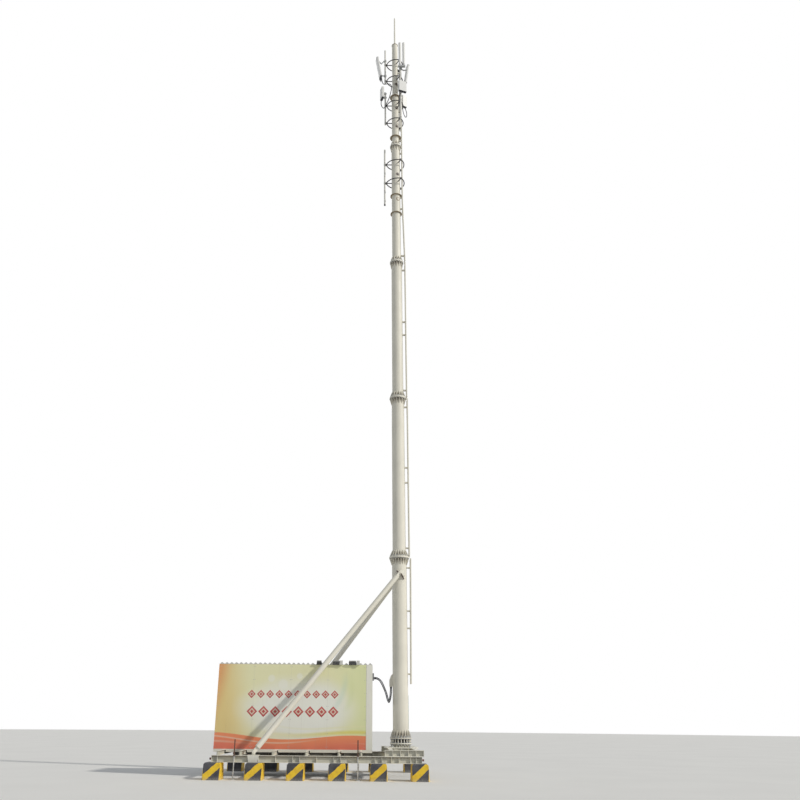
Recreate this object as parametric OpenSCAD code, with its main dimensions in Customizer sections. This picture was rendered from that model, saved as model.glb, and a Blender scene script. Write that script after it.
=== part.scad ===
// Portable monopole tower on a ballasted beam grillage, with an equipment cabin beside the pole.
// Millimetres, +Z up. The origin is on the ground at the middle of the ballast footprint.
// +X runs along the long beams towards the pole, and -Y is the side of the printed boards.

/* [Ballast] */
// Ballast blocks in each of the two rows
blocks_per_row = 6; // [3:1:8]
// How far the middle of an end block lies in from the beam's end
block_inset = 62.5; // [0:0.5:120]
// Width of a block at its foot
block_w = 440; // [300:5:600]
// Depth of a block at its foot
block_d = 600; // [400:5:800]
// Height of a block
block_h = 385; // [250:5:500]
// How far each face of a block leans in
block_batter = 20; // [5:1:40]
// Chamfer along the top edges of a block
block_chamfer = 28; // [10:1:50]
// Distance between the middles of the two rows
row_gap = 3800; // [3400:10:4200]

/* [Base frame] */
// Depth of the long beams
beam_h = 160; // [120:5:220]
// Flange width of the long beams
beam_w = 120; // [90:5:160]
// Plate thickness of the long beams
beam_t = 10; // [6:1:16]
// Distance between the two web stiffeners over a block
stiffener_gap = 170; // [120:5:260]
// Thickness of web stiffeners
stiffener_t = 12; // [8:1:20]
// Diameter of the lifting pins at the beam ends
lift_pin_d = 50; // [30:1:70]
// How far a lifting pin stands out of its end plate
lift_pin_out = 48; // [20:1:60]
// Depth of the cross joists under the cabin
joist_h = 100; // [80:5:120]
// Flange width of the cross joists
joist_w = 68; // [50:1:90]
// Plate thickness of the cross joists
joist_t = 7; // [5:1:10]
// Distance of the outer joists from the ends of the cabin
joist_outer_in = 290; // [200:10:400]
// Distance of the second joists from the ends of the cabin
joist_second_in = 840; // [600:10:1000]
// Distance of the inner joists from the middle of the cabin
joist_inner = 410; // [250:10:600]
// Diameter of the levelling screws
jack_d = 28; // [20:1:40]
// Height of the levelling screws
jack_h = 910; // [700:10:1100]
// Diameter of the foot plate of a levelling screw
jack_foot_d = 130; // [90:5:180]

/* [Pedestal] */
// Distance of the pole's axis from the right end of the long beams
pole_from_end = 435; // [380:5:520]
// Depth of the pedestal girders
girder_h = 145; // [110:5:180]
// Flange width of the pedestal girders
girder_w = 110; // [80:5:140]
// Plate thickness of the pedestal girders
girder_t = 10; // [6:1:16]
// Length of the two end girders
end_girder_len = 970; // [900:10:1000]
// Distance between the two cross girders
cross_girder_gap = 640; // [500:10:760]
// Side of the square base plate
base_plate_w = 900; // [820:10:960]
// Thickness of the base plate
base_plate_t = 22; // [12:1:40]
// Height of the short pedestal tube between base plate and anchor ring
stub_h = 78; // [60:2:140]
// Open height between anchor ring and pole flange
stud_gap = 105; // [60:5:160]
// Diameter of an anchor stud
stud_d = 30; // [20:1:42]

/* [Pole] */
// Length of the first pole section
sec1_len = 4900; // [4500:10:5500]
// Length of the second pole section
sec2_len = 5080; // [4500:10:5500]
// Length of the third pole section
sec3_len = 5050; // [4500:10:5500]
// Length of the fourth pole section
sec4_len = 4960; // [4500:10:5500]
// Length of the fifth pole section
sec5_len = 4940; // [4700:10:5200]
// Outer diameter of the first pole section
sec1_d = 426; // [380:2:460]
// Outer diameter of the second pole section
sec2_d = 390; // [350:2:420]
// Outer diameter of the third pole section
sec3_d = 355; // [320:2:380]
// Outer diameter of the fourth pole section
sec4_d = 303; // [270:1:330]
// Outer diameter of the fifth pole section below its reducer
sec5_d = 262; // [235:1:280]
// Outer diameter of the pole top above the reducer
top_d = 216; // [180:1:230]
// Wall thickness of the pole tubes
pole_wall = 9; // [6:1:14]
// Diameter of the base flange and anchor ring
flange0_d = 590; // [540:2:640]
// Diameter of the first joint flange
flange1_d = 588; // [540:2:600]
// Diameter of the second joint flange
flange2_d = 528; // [500:2:540]
// Diameter of the third joint flange
flange3_d = 461; // [440:1:470]
// Diameter of the fourth joint flange
flange4_d = 409; // [380:1:420]
// Thickness of each flange
flange_t = 25; // [16:1:36]
// Height of the gusset plates at the flanges
gusset_h = 185; // [120:5:240]
// Thickness of the gusset plates
gusset_t = 12; // [8:1:18]
// Height of the reducer above the start of the fifth section
reducer_at = 2340; // [2150:10:2600]
// Diameter of the collar plate under the reducer
collar_d = 400; // [340:5:420]
// Thickness of the ring plates
ring_plate_t = 16; // [10:1:24]
// Clear distance between the ring plates and the rungs beside them
ring_plate_gap = 8; // [4:1:30]
// Height of the upper ring plate above the start of the fifth section
ring1_up = 412; // [300:1:700]
// Height of the middle ring plate above the start of the fourth section
ring2_up = 2762; // [2720:1:2900]
// Height of the lower ring plate above the start of the fourth section
ring3_up = 2002; // [1800:1:2150]
// Diameter of a cable port's plug
port_d = 56; // [40:2:70]
// Height of the lowest port of the fifth section above that section's start
port1_up = 876; // [700:1:1000]
// Height of the port with the jumper cable above the start of the fifth section
port2_up = 1737; // [1600:1:1800]
// Height of the port above the reducer above the start of the fifth section
port3_up = 2921; // [2700:1:3050]
// Height of the port of the fourth section above that section's start
port4_up = 3650; // [3500:1:4000]
// Height of the covered hand hole above the start of the fourth section
hand_hole_up = 2575; // [2400:1:2650]
// Length of the lightning rod above the cap
rod_len = 1480; // [900:10:2000]
// Diameter of the lightning rod at its foot
rod_d = 62; // [30:1:70]

/* [Ladder] */
// Width of the ladder between the middles of its rails
ladder_w = 220; // [180:5:240]
// Diameter of the ladder rails
rail_d = 42; // [20:1:48]
// Diameter of the rungs
rung_d = 20; // [14:1:26]
// Distance between rungs
rung_pitch = 300; // [250:5:350]
// Height of the foot of the ladder above the ground
ladder_foot = 2320; // [2000:10:2600]
// Clear distance from the pole's face to the foot of the ladder
ladder_foot_clear = 85; // [70:1:120]
// How far the ladder stands beyond the first joint's rim at the top of its first length
ladder1_clear = 38; // [30:1:60]
// How far the second length stands beyond the first joint's rim
ladder2_clear = 4; // [2:1:30]
// How far the third length stands beyond the second joint's rim
ladder3_clear = 20; // [10:1:50]
// How far the foot of the fourth length stands beyond the third joint's rim
ladder4_clear = 54; // [30:1:70]
// Height above the fourth section's start where the leaning ladder turns upright
ladder_bend_up = 2550; // [2400:10:2600]
// Clear distance between the ladder rails and the bows of the upper hoops
hoop_clear = 27; // [20:1:50]
// Distance from the top of the ladder to the top hoop
ladder_below_hoop = 150; // [80:10:400]

/* [Antenna hoops] */
// Distance of an upper hoop's corners from the pole's axis
hoop_r = 320; // [310:1:340]
// Distance of the middle of an upper hoop's sides from the pole's axis
hoop_side_r = 288; // [284:1:300]
// Distance of a lower hoop's corners from the pole's axis
low_hoop_r = 345; // [330:1:360]
// Distance of the middle of a lower hoop's sides from the pole's axis
low_hoop_side_r = 295; // [288:1:310]
// Diameter of the hoop bars
hoop_bar_d = 36; // [24:1:44]
// Height of the lowest upper hoop above the start of the fifth section
hoop1_up = 1110; // [1000:10:1200]
// Height of the second upper hoop above the start of the fifth section
hoop2_up = 1940; // [1850:10:2050]
// Height of the third upper hoop above the start of the fifth section
hoop3_up = 3138; // [3050:2:3250]
// Height of the top hoop above the start of the fifth section
hoop4_up = 3946; // [3850:2:4050]
// Height of the lowest hoop above the start of the fourth section
hoop5_up = 3340; // [3250:10:3450]
// Height of the second lowest hoop above the start of the fourth section
hoop6_up = 4160; // [4050:10:4300]

/* [Antennas] */
// Diameter of the antenna pipes
pipe_d = 60; // [40:1:70]
// How far the pipes reach below the hoop at their foot
pipe_tail = 70; // [40:5:120]
// How far the upper left pipe reaches below the third upper hoop
left_pipe_tail = 114; // [60:1:160]
// How far the lower left pipe reaches above the second upper hoop
left_pipe_head = 636; // [560:1:800]
// How far the two short pipes reach above the top hoop
pipe_head = 80; // [50:5:150]
// Distance from the top of the long left pipe to the top of the pole
pipe_below_top = 250; // [100:10:400]
// How far the low pipe reaches below its lower hoop
low_pipe_tail = 960; // [700:10:1100]
// How far the low pipe reaches above its upper hoop
low_pipe_head = 670; // [500:10:700]
// Diameter of the white rod antennas
omni_d = 100; // [60:1:110]
// Length of the white rod antennas
omni_len = 1160; // [900:10:1500]
// Distance between the two rod antennas
omni_gap = 146; // [112:1:170]
// How far the bar under the rod antennas lies below the top hoop
omni_bar_drop = 458; // [400:1:600]
// Length of the left panel antenna
panel1_len = 920; // [800:10:1100]
// Length of the right panel antenna
panel2_len = 890; // [700:10:1000]
// Width of a panel antenna
panel_w = 280; // [200:5:320]
// Depth of a panel antenna
panel_d = 85; // [70:1:130]
// Downward tilt of the left panel in degrees
panel1_tilt = 8.5; // [4:0.5:12]
// Downward tilt of the right panel in degrees
panel2_tilt = 7; // [4:0.5:12]
// Distance from a pipe's axis to the middle of the left panel at its foot
panel1_reach = 174; // [160:1:240]
// Distance from a pipe's axis to the middle of the right panel at its foot
panel2_reach = 182; // [160:1:240]
// How far the foot of the left panel lies below the top hoop
panel1_drop = 635; // [500:1:650]
// How far the foot of the right panel lies below the top hoop
panel2_drop = 1222; // [1000:1:1300]

/* [Radio boxes] */
// Width, depth and height of the radio on the front pipe
front_radio = [310, 110, 480]; // [100:1:600]
// Width, depth and height of the radio on the rear pipe
rear_radio = [205, 110, 520]; // [100:1:600]
// Width, depth and height of the radio on the left pipe
left_radio = [235, 95, 510]; // [100:1:600]
// Height of the front radio's foot above the second upper hoop
front_radio_up = 277; // [200:1:400]
// Height of the rear radio's foot above the second upper hoop
rear_radio_up = 240; // [200:5:400]
// Height of the left radio's foot above the second upper hoop
left_radio_up = 308; // [200:1:500]
// Diameter of the connector boots under the radios
boot_d = 28; // [20:1:34]
// Length of the short boots
boot_len = 40; // [30:1:60]
// Diameter of the wrapped boots under the left panel
wrapped_boot_d = 40; // [28:1:44]
// Length of the wrapped boots under the left panel
wrapped_boot_len = 170; // [80:1:200]
// Length of the boots under the left radio
radio_boot_len = 60; // [40:1:100]
// Diameter of the bundled jumpers from the left panel to the left radio
jumper_d = 26; // [16:1:30]
// Diameter of the single jumpers of the other radios
lead_d = 18; // [10:1:22]

/* [Braces] */
// Diameter of the two raking braces
brace_d = 140; // [100:2:160]
// Wall thickness of the braces
brace_wall = 6; // [4:1:10]
// How far the upper brace pin lies below the first joint of the pole
brace_drop = 480; // [320:10:900]
// Distance of a brace's foot pin from the left end of the long beams
brace_foot_in = 1030; // [900:10:1200]
// Diameter of the brace pins
brace_pin_d = 36; // [26:1:46]
// Thickness of the brace lugs
lug_t = 22; // [14:1:30]

/* [Cabin] */
// Length of the cabin
cabin_len = 4120; // [3900:10:4200]
// How far the cabin stands out over the left end of the long beams
cabin_overhang = 140; // [0:5:250]
// Distance from the right end of the cabin to the pole's axis
cabin_to_pole = 785; // [700:5:900]
// Width of the cabin over its printed boards
cabin_w = 1900; // [1700:10:1940]
// Height of the cabin from the joists to the roof's top
cabin_h = 2105; // [1900:5:2400]
// Thickness of the cabin walls and roof
wall_t = 60; // [40:5:90]
// Thickness of the cabin floor
floor_t = 70; // [50:5:100]
// Thickness of the printed boards on the front
board_t = 25; // [12:1:40]
// Number of printed boards
board_count = 4; // [3:1:4]
// Width of the first printed board
first_board_w = 960; // [700:5:1000]
// Distance from one board's edge to the next
board_w = 985; // [800:5:1050]
// Open seam between two boards
board_seam = 5; // [3:1:10]
// Width of the plain strip beside the boards
strip_w = 165; // [100:5:250]
// Height of the skid rails under the cabin edge
skid_h = 58; // [40:1:75]
// Width of the skid rails
skid_w = 75; // [50:5:100]

// Height of the waves of the roof sheet
wave_h = 50; // [25:1:60]
// Number of waves of the roof sheet
wave_count = 32; // [20:1:40]
// Thickness of the roof sheet
sheet_t = 4; // [2:0.5:8]

/* [Lamps and cables] */
// Width of the two large floodlights
lamp_w = 185; // [140:5:240]
// Width of the small floodlight
small_lamp_w = 120; // [100:5:200]
// Height of a floodlight
lamp_h = 110; // [70:5:140]
// Depth of a floodlight
lamp_d = 60; // [40:5:90]
// Distance of the right floodlight from the right end of the cabin
lamp_from_end = 540; // [300:10:800]
// Clear distance between the front brace and the floodlights on both sides of it
lamp_brace_clear = 12; // [8:1:60]
// Diameter of a feeder cable
feeder_d = 26; // [18:1:27]
// How far the inlet box stands out of the cabin
inlet_out = 45; // [30:1:80]
// Length of a cable gland on the inlet box
inlet_gland_len = 20; // [10:1:30]
// Width of the cable hood on the pole
hood_w = 110; // [90:5:160]
// Height of the cable hood
hood_h = 330; // [250:10:450]
// How far the cable hood stands out of the pole's face
hood_out = 92; // [88:1:130]
// Height of the foot of the cable hood above the ground
hood_z = 2252; // [2200:1:2400]
// Length of a gland under the cable hood
hood_gland_len = 12; // [8:1:30]

/* [Hidden] */

STEEL = [0.84, 0.82, 0.75];
CREAM = [0.90, 0.88, 0.82];
GREY = [0.55, 0.56, 0.56];
DARK = [0.22, 0.22, 0.24];
WHITE = [0.93, 0.93, 0.92];

round_fn = 48;
small_fn = 24;
eps = 1;

// Along the long beams, everything is placed from the beams' ends
beam_len = cabin_len - cabin_overhang + cabin_to_pole + pole_from_end;
block_pitch = (beam_len - 2 * block_inset) / (blocks_per_row - 1);
pole_x = beam_len / 2 - pole_from_end;
cabin_x0 = -beam_len / 2 - cabin_overhang;
cabin_x1 = cabin_x0 + cabin_len;
cabin_x = (cabin_x0 + cabin_x1) / 2;

row_y = row_gap / 2;
beam_z = block_h;
joist_z = beam_z + beam_h;
deck_z = joist_z + joist_h;
joist_outer = cabin_len / 2 - joist_outer_in;
joist_second = cabin_len / 2 - joist_second_in;
joist_offsets = [-joist_outer, -joist_second, -joist_inner, joist_inner, joist_second, joist_outer];
joist_len = row_gap + beam_w;
jack_xs = [-2 * block_pitch, block_pitch];
jack_off = beam_w / 2 + 62;
jack_clamp_h = 40;

plate_z = joist_z + girder_h;
stub_z = plate_z + base_plate_t;
ring_z = stub_z + stub_h;
base_z = ring_z + flange_t + stud_gap;
sec_len = [sec1_len, sec2_len, sec3_len, sec4_len, sec5_len];
sec_d = [sec1_d, sec2_d, sec3_d, sec4_d, sec5_d];
flange_d = [flange0_d, flange1_d, flange2_d, flange3_d, flange4_d];
gusset_n = [20, 20, 16, 14, 12];
sec_z = [for (i = 0, z = base_z; i < 5; z = z + sec_len[i], i = i + 1) z];
top_z = sec_z[4] + sec_len[4];
cap_t = 16;
reducer_h = 70;
seat = 0.3;

board_y = -cabin_w / 2;
wall_y = board_y + board_t;
roof_z = deck_z + cabin_h;
wall_z = deck_z + floor_t;
wall_h = cabin_h - floor_t - wall_t;
rail_lip = 15;

// The hoops, and the pipes that stand 0.3 clear of the blocks on the hoops' corners
hoop1_z = sec_z[4] + hoop1_up;
hoop2_z = sec_z[4] + hoop2_up;
hoop3_z = sec_z[4] + hoop3_up;
hoop4_z = sec_z[4] + hoop4_up;
hoop5_z = sec_z[3] + hoop5_up;
hoop6_z = sec_z[3] + hoop6_up;
hoop_node_w = hoop_bar_d * 1.8;
hoop_node_out = hoop_node_w * 0.4;
pipe_r = hoop_r + hoop_node_out + pipe_d / 2 + seat;
low_pipe_r = low_hoop_r + hoop_node_out + pipe_d / 2 + seat;

// Which way the panels and radios face, in degrees, and how they stand off their pipes
left_panel_facing = 185;
right_panel_facing = 13;
front_radio_facing = -68.5;
rear_radio_facing = -54;
left_radio_facing = 197;
front_radio_back = 82.5;
rear_radio_back = 54;
left_radio_back = 78;
front_radio_shift = 13;
rear_radio_shift = 119;
bracket_rim = 14;

// Cable ports, a little to the right of the front of the pole
port_azimuth = -65;
port_rim_w = 10;
port_rim_out = 4;
plug_t = 6;
gland_nose_len = 10;
port_nose_r = sec5_d / 2 + port_rim_out + plug_t + gland_nose_len;

// The ladder leans with the pole: its distance from the pole's axis at each end of its lengths
ladder_foot_off = sec1_d / 2 + ladder_foot_clear;
ladder1_off = flange1_d / 2 + ladder1_clear;
ladder2_off = flange1_d / 2 + ladder2_clear;
ladder3_off = flange2_d / 2 + ladder3_clear;
ladder4_off = flange3_d / 2 + ladder4_clear;
ladder_top_off = hoop_side_r - hoop_bar_d / 2 - hoop_clear - rail_d / 2;
ladder_bend_z = sec_z[3] + ladder_bend_up;
ladder_end_gap = 30;
ring_plate_d = 2 * (ladder_top_off - rung_d / 2 - ring_plate_gap);

// The upper brace pin stands off the front of the pole, and the foot pin is over the long beam
pin_off = sec1_d / 2 + 57;
brace_foot_z = joist_z + 75;
brace_top = [pole_x, -pin_off, sec_z[1] - brace_drop];
brace_foot = [-beam_len / 2 + brace_foot_in, -row_y, brace_foot_z];
brace_run = brace_top - brace_foot;
brace_flat = norm([brace_run[0], brace_run[1]]);
brace_len = norm(brace_run);
brace_turn = atan2(brace_run[1], brace_run[0]);
brace_lean = atan2(brace_flat, brace_run[2]);
fork_len = 150;
ear_t = 14;
ear_gap = 2;
pin_play = 0.4;

// Places of the glands: Y and Z on the inlet box, X from the pole's axis and Y under the hood
inlet_glands = [[-300, 2465], [-320, 2435], [-280, 2435]];
hood_glands = [[-245, -20], [-245, 15], [-275, 0]];
gland_d = feeder_d + 5;

// Routes of the feeder cables, from the inlet box down, round and up into the hood. Each point
// is given by its X from the inlet in parts of a drawn run, its Y and its height over the hood
feeder_x = cabin_x1 + inlet_out + inlet_gland_len;

function slung(gland, run, points) = [
    for (p = points) [
        feeder_x + p[0] / run * (pole_x + gland[0] - feeder_x),
        p[1],
        hood_z - hood_gland_len + p[2]
    ]
];

feeder_route_1 = slung(hood_glands[0], 475, [
    [0, -300, 225], [75, -300, 225], [140, -300, 185], [195, -300, 130], [230, -300, 65],
    [260, -300, 0], [285, -300, -60], [315, -300, -125], [340, -300, -195], [355, -295, -260],
    [375, -265, -320], [390, -215, -365], [410, -160, -380], [430, -100, -370], [440, -50, -330],
    [455, -25, -275], [465, -20, -210], [475, -15, -140], [475, -20, -70], [475, -20, 0]
]);
feeder_route_2 = slung(hood_glands[1], 475, [
    [0, -320, 195], [65, -320, 195], [120, -320, 160], [165, -320, 110], [200, -320, 50],
    [230, -320, -10], [260, -320, -75], [285, -320, -135], [310, -320, -205], [325, -310, -275],
    [345, -280, -340], [370, -225, -390], [390, -155, -415], [415, -80, -400], [435, -20, -350],
    [450, 10, -285], [465, 20, -210], [475, 20, -140], [475, 15, -70], [475, 15, 0]
]);
feeder_route_3 = slung(hood_glands[2], 445, [
    [0, -280, 195], [65, -280, 195], [125, -280, 160], [165, -280, 110], [200, -280, 50],
    [230, -280, -10], [260, -280, -75], [285, -285, -135], [310, -285, -200], [325, -275, -265],
    [340, -250, -320], [355, -205, -360], [375, -145, -380], [395, -85, -370], [410, -35, -330],
    [425, -10, -270], [435, 0, -205], [440, 0, -135], [445, 0, -70], [445, 0, 0]
]);

// A place in the frame of an upper pipe, turned to the side that a piece faces
function on_pipe(azimuth, facing, z, p) = [
    pole_x + pipe_r * cos(azimuth) + p[0] * cos(facing) - p[1] * sin(facing),
    pipe_r * sin(azimuth) + p[0] * sin(facing) + p[1] * cos(facing),
    z + p[2]
];

// Places measured from the middle of a piece's foot
function on_left_panel(p) = on_pipe(180, left_panel_facing, hoop4_z - panel1_drop, [
    panel1_reach + p[0] * cos(panel1_tilt) + p[2] * sin(panel1_tilt),
    p[1],
    p[2] * cos(panel1_tilt) - p[0] * sin(panel1_tilt)
]);

function on_radio(azimuth, facing, up, back, shift, size, p) =
    on_pipe(azimuth, facing, hoop2_z + up, [back + size[1] / 2, shift, 0] + p);

function on_left_radio(p) = on_radio(
    180, left_radio_facing, left_radio_up, left_radio_back, 0, left_radio, p
);

function on_front_radio(p) = on_radio(
    -60, front_radio_facing, front_radio_up, front_radio_back, front_radio_shift, front_radio, p
);

function on_rear_radio(p) = on_radio(
    60, rear_radio_facing, rear_radio_up, rear_radio_back, rear_radio_shift, rear_radio, p
);

function on_port(reach, z = 0) = [
    pole_x + reach * cos(port_azimuth), reach * sin(port_azimuth), sec_z[4] + port2_up + z
];

// Places of the boots under the middle of each foot
left_panel_boots = [[-16, 40], [16, -20]];
right_panel_boots = [[0, 20], [0, 80]];
left_radio_boots = [[25, -30], [-5, 30], [20, 80]];
front_radio_boots = [[0, -90], [0, 0], [0, 90]];
rear_radio_boots = [[-20, -50], [20, 0], [20, 55]];

function below(place, drop) = [place[0], place[1], -drop];

// Points about the pole: X and Y in hoop radii from its axis, and the height over a given level
function about_pole(z, points) =
    [for (p = points) [pole_x + hoop_r * p[0], hoop_r * p[1], z + p[2]]];

function moved(origin, points) = [for (p = points) origin + p];

// Routes of the jumper cables: left panel to left radio, port to front radio, rear radio's loop
straight = 60;
panel_jumper = concat(
    [for (d = [0, straight]) on_left_panel(below(left_panel_boots[0], wrapped_boot_len + d))],
    about_pole(hoop3_z, [
        [-1.43, -0.11, -179], [-1.18, -0.17, -188], [-0.91, -0.23, -182],
        [-0.68, -0.39, -244], [-0.51, -0.53, -317], [-0.44, -0.59, -429]
    ]),
    about_pole(hoop2_z, [
        [-0.47, -0.56, 607], [-0.56, -0.53, 480], [-0.67, -0.48, 314], [-0.79, -0.45, 193],
        [-0.88, -0.44, 110], [-0.97, -0.43, 50], [-1.03, -0.41, 0], [-1.08, -0.37, -45],
        [-1.13, -0.31, -90], [-1.21, -0.26, -130], [-1.31, -0.22, -160], [-1.43, -0.19, -165],
        [-1.53, -0.15, -110], [-1.61, -0.12, -40], [-1.66, -0.09, 30], [-1.68, -0.06, 110]
    ]),
    [for (d = [straight, 0]) on_left_radio(below(left_radio_boots[0], radio_boot_len + d))]
);
port_jumper = concat(
    [on_port(port_nose_r), on_port(port_nose_r + 44), on_port(port_nose_r + 92, -27)],
    moved(on_front_radio([0, 0, 0]), [
        [-125, 120, -485], [-120, 95, -415], [-115, 85, -335], [-115, 75, -255],
        [-110, 45, -175], [-95, 0, -125]
    ]),
    [for (d = [straight - 10, 0]) on_front_radio(below(front_radio_boots[0], boot_len + d))]
);
radio_jumper = concat(
    [for (d = [0, straight]) on_rear_radio(below(rear_radio_boots[0], boot_len + d))],
    moved(on_rear_radio([0, 0, 0]), [
        [-45, -15, -200], [-25, -20, -320], [5, -20, -430], [40, -15, -500],
        [80, -5, -500], [100, 5, -430], [105, 12, -320], [90, 16, -210]
    ]),
    [for (d = [straight, 0]) on_rear_radio(below(rear_radio_boots[2], boot_len + d))]
);

// Point of a smooth curve between its second and third guide points
function smooth_point(a, b, c, d, t) =
    (pow(1 - t, 3) * a + (3 * pow(t, 3) - 6 * t * t + 4) * b
    + (3 * t + 3 * t * t - 3 * pow(t, 3) + 1) * c + pow(t, 3) * d) / 6;

// Smooth path along a route, with a guide point added beyond each end so that it keeps the ends
function smooth_path(route, steps) =
    let (
        last = len(route) - 1,
        guide = concat([2 * route[0] - route[1]], route, [2 * route[last] - route[last - 1]])
    )
    [for (i = [0 : last - 1], k = [0 : i == last - 1 ? steps : steps - 1])
        smooth_point(guide[i], guide[i + 1], guide[i + 2], guide[i + 3], k / steps)];

function unit(v) = v / norm(v);

// Directions along a path, which keep the route's own directions at both ends
function headings(path, route) =
    let (last = len(path) - 1, end = len(route) - 1)
    concat(
        [unit(route[1] - route[0])],
        [for (i = [1 : last - 1]) unit(path[i + 1] - path[i - 1])],
        [unit(route[end] - route[end - 1])]
    );

// Sideways direction of each ring, carried along the path without a twist
function side_directions(heads, i = 0, side = [0, 1, 0]) =
    let (s = unit(side - (side * heads[i]) * heads[i]))
    i == len(heads) - 1 ? [s] : concat([s], side_directions(heads, i + 1, s));

// Round cable along a route, closed by flat ends
module cable(route, diameter, sides, steps = 2) {
    path = smooth_path(route, steps);
    heads = headings(path, route);
    across = side_directions(heads, 0, abs(heads[0][1]) > 0.5 ? [0, 0, 1] : [0, 1, 0]);
    last = len(path) - 1;
    points = [
        for (i = [0 : last], k = [0 : sides - 1])
            path[i] + diameter / 2 * (
                cos(360 * k / sides) * across[i]
                + sin(360 * k / sides) * cross(heads[i], across[i])
            )
    ];
    faces = concat(
        [[for (k = [0 : sides - 1]) k]],
        [for (i = [0 : last - 1], k = [0 : sides - 1])
            [i * sides + k, (i + 1) * sides + k, (i + 1) * sides + (k + 1) % sides]],
        [for (i = [0 : last - 1], k = [0 : sides - 1])
            [i * sides + k, (i + 1) * sides + (k + 1) % sides, i * sides + (k + 1) % sides]],
        [[for (k = [sides - 1 : -1 : 0]) last * sides + k]]
    );
    polyhedron(points, faces);
}

// I-section bar along X, middle of its foot at the origin
module i_bar(length, height, width, plate) {
    web = plate * 0.8;
    rotate([90, 0, 90])
        linear_extrude(length, center = true)
            polygon([
                [-width / 2, 0], [width / 2, 0], [width / 2, plate], [web / 2, plate],
                [web / 2, height - plate], [width / 2, height - plate], [width / 2, height],
                [-width / 2, height], [-width / 2, height - plate], [-web / 2, height - plate],
                [-web / 2, plate], [-width / 2, plate]
            ]);
}

// Plates across an I-section bar at the given places along X
module cross_plates(places, height, width, plate, thick) {
    for (x = places)
        translate([x - thick / 2, -width / 2, plate / 2])
            cube([thick, width, height - plate]);
}

// One battered concrete block with chamfered edges, its foot centred on the origin
module ballast_block() {
    intersection() {
        rotate([90, 0, 0])
            linear_extrude(block_d * 2, center = true)
                battered_profile(block_w);
        rotate([90, 0, 90])
            linear_extrude(block_w * 2, center = true)
                battered_profile(block_d);
        linear_extrude(block_h)
            chamfered_rectangle(block_w, block_d, block_chamfer);
    }
}

module battered_profile(width) {
    foot = width / 2;
    head = foot - block_batter;
    polygon([
        [-foot, 0], [foot, 0], [head, block_h - block_chamfer], [head - block_chamfer, block_h],
        [block_chamfer - head, block_h], [-head, block_h - block_chamfer]
    ]);
}

module chamfered_rectangle(width, depth, cut) {
    w = width / 2;
    d = depth / 2;
    polygon([
        [-w + cut, -d], [w - cut, -d], [w, -d + cut], [w, d - cut],
        [w - cut, d], [-w + cut, d], [-w, d - cut], [-w, -d + cut]
    ]);
}

module block_row(y) {
    for (i = [0 : blocks_per_row - 1])
        translate([(i - (blocks_per_row - 1) / 2) * block_pitch, y, 0])
            ballast_block();
}

module ballast_blocks() {
    color("goldenrod") {
        block_row(-row_y);
        block_row(row_y);
    }
}

// Stiffener pairs stand over each block, a single one over each gap and two under the pole
function stiffener_places() =
    let (
        places = concat(
            [for (i = [0 : blocks_per_row - 1], s = [-1, 1])
                (i - (blocks_per_row - 1) / 2) * block_pitch + s * stiffener_gap / 2],
            [for (i = [1 : blocks_per_row - 1]) (i - blocks_per_row / 2) * block_pitch],
            [pole_x - cross_girder_gap / 2, pole_x + cross_girder_gap / 2 - stiffener_gap]
        )
    )
    [for (x = places) if (abs(x) < beam_len / 2 - beam_t - stiffener_t) x];

module long_beam(y) {
    translate([0, y, beam_z]) {
        i_bar(beam_len, beam_h, beam_w, beam_t);
        cross_plates(stiffener_places(), beam_h, beam_w - 8, beam_t, stiffener_t);
        for (s = [-1, 1]) {
            translate([s * (beam_len / 2 - beam_t / 2), 0, beam_h / 2])
                cube([beam_t, beam_w, beam_h], center = true);
            translate([s * (beam_len / 2 - eps), 0, beam_h / 2])
                rotate([0, s * 90, 0])
                    cylinder(h = lift_pin_out + eps, d = lift_pin_d, $fn = small_fn);
        }
    }
}

module long_beams() {
    color(STEEL) {
        long_beam(-row_y);
        long_beam(row_y);
    }
}

module cross_joists() {
    color(STEEL)
        for (x = joist_offsets)
            translate([cabin_x + x, 0, joist_z])
                rotate([0, 0, 90]) {
                    i_bar(joist_len, joist_h, joist_w, joist_t);
                    cross_plates(
                        [-row_y, row_y], joist_h, joist_w - 6, joist_t, stiffener_t
                    );
                }
}

// Short girder on top of a long beam, carrying the ends of the cross girders
module end_girder(y) {
    translate([pole_x, y, joist_z]) {
        i_bar(end_girder_len, girder_h, girder_w, girder_t);
        cross_plates(
            [for (i = [0 : 5]) (i / 5 - 0.5) * (end_girder_len - stiffener_t)],
            girder_h, girder_w - 8, girder_t, stiffener_t
        );
    }
}

module end_girders() {
    color(STEEL) {
        end_girder(-row_y);
        end_girder(row_y);
    }
}

module cross_girders() {
    length = row_gap - girder_w;
    color(STEEL)
        for (s = [-1, 1])
            translate([pole_x + s * cross_girder_gap / 2, 0, joist_z])
                rotate([0, 0, 90]) {
                    i_bar(length, girder_h, girder_w, girder_t);
                    cross_plates(
                        [-base_plate_w / 2 + 60, 0, base_plate_w / 2 - 60],
                        girder_h, girder_w - 8, girder_t, stiffener_t
                    );
                }
}

// Ring of triangular plates on a tube, standing on a flange, or hanging under it when down is true
module gussets(count, tube_d, rim_d, height, down = false) {
    inner = tube_d / 2 - pole_wall / 2;
    outer = rim_d / 2 - 12;
    toe = 22;
    for (i = [0 : count - 1])
        rotate([0, 0, (i + 0.5) * 360 / count])
            mirror([0, 0, down ? 1 : 0])
                rotate([90, 0, 0])
                    linear_extrude(gusset_t, center = true)
                        polygon([
                            [inner, 0], [outer, 0], [outer, toe],
                            [tube_d / 2 + toe * 0.6, height], [inner, height]
                        ]);
}

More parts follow.
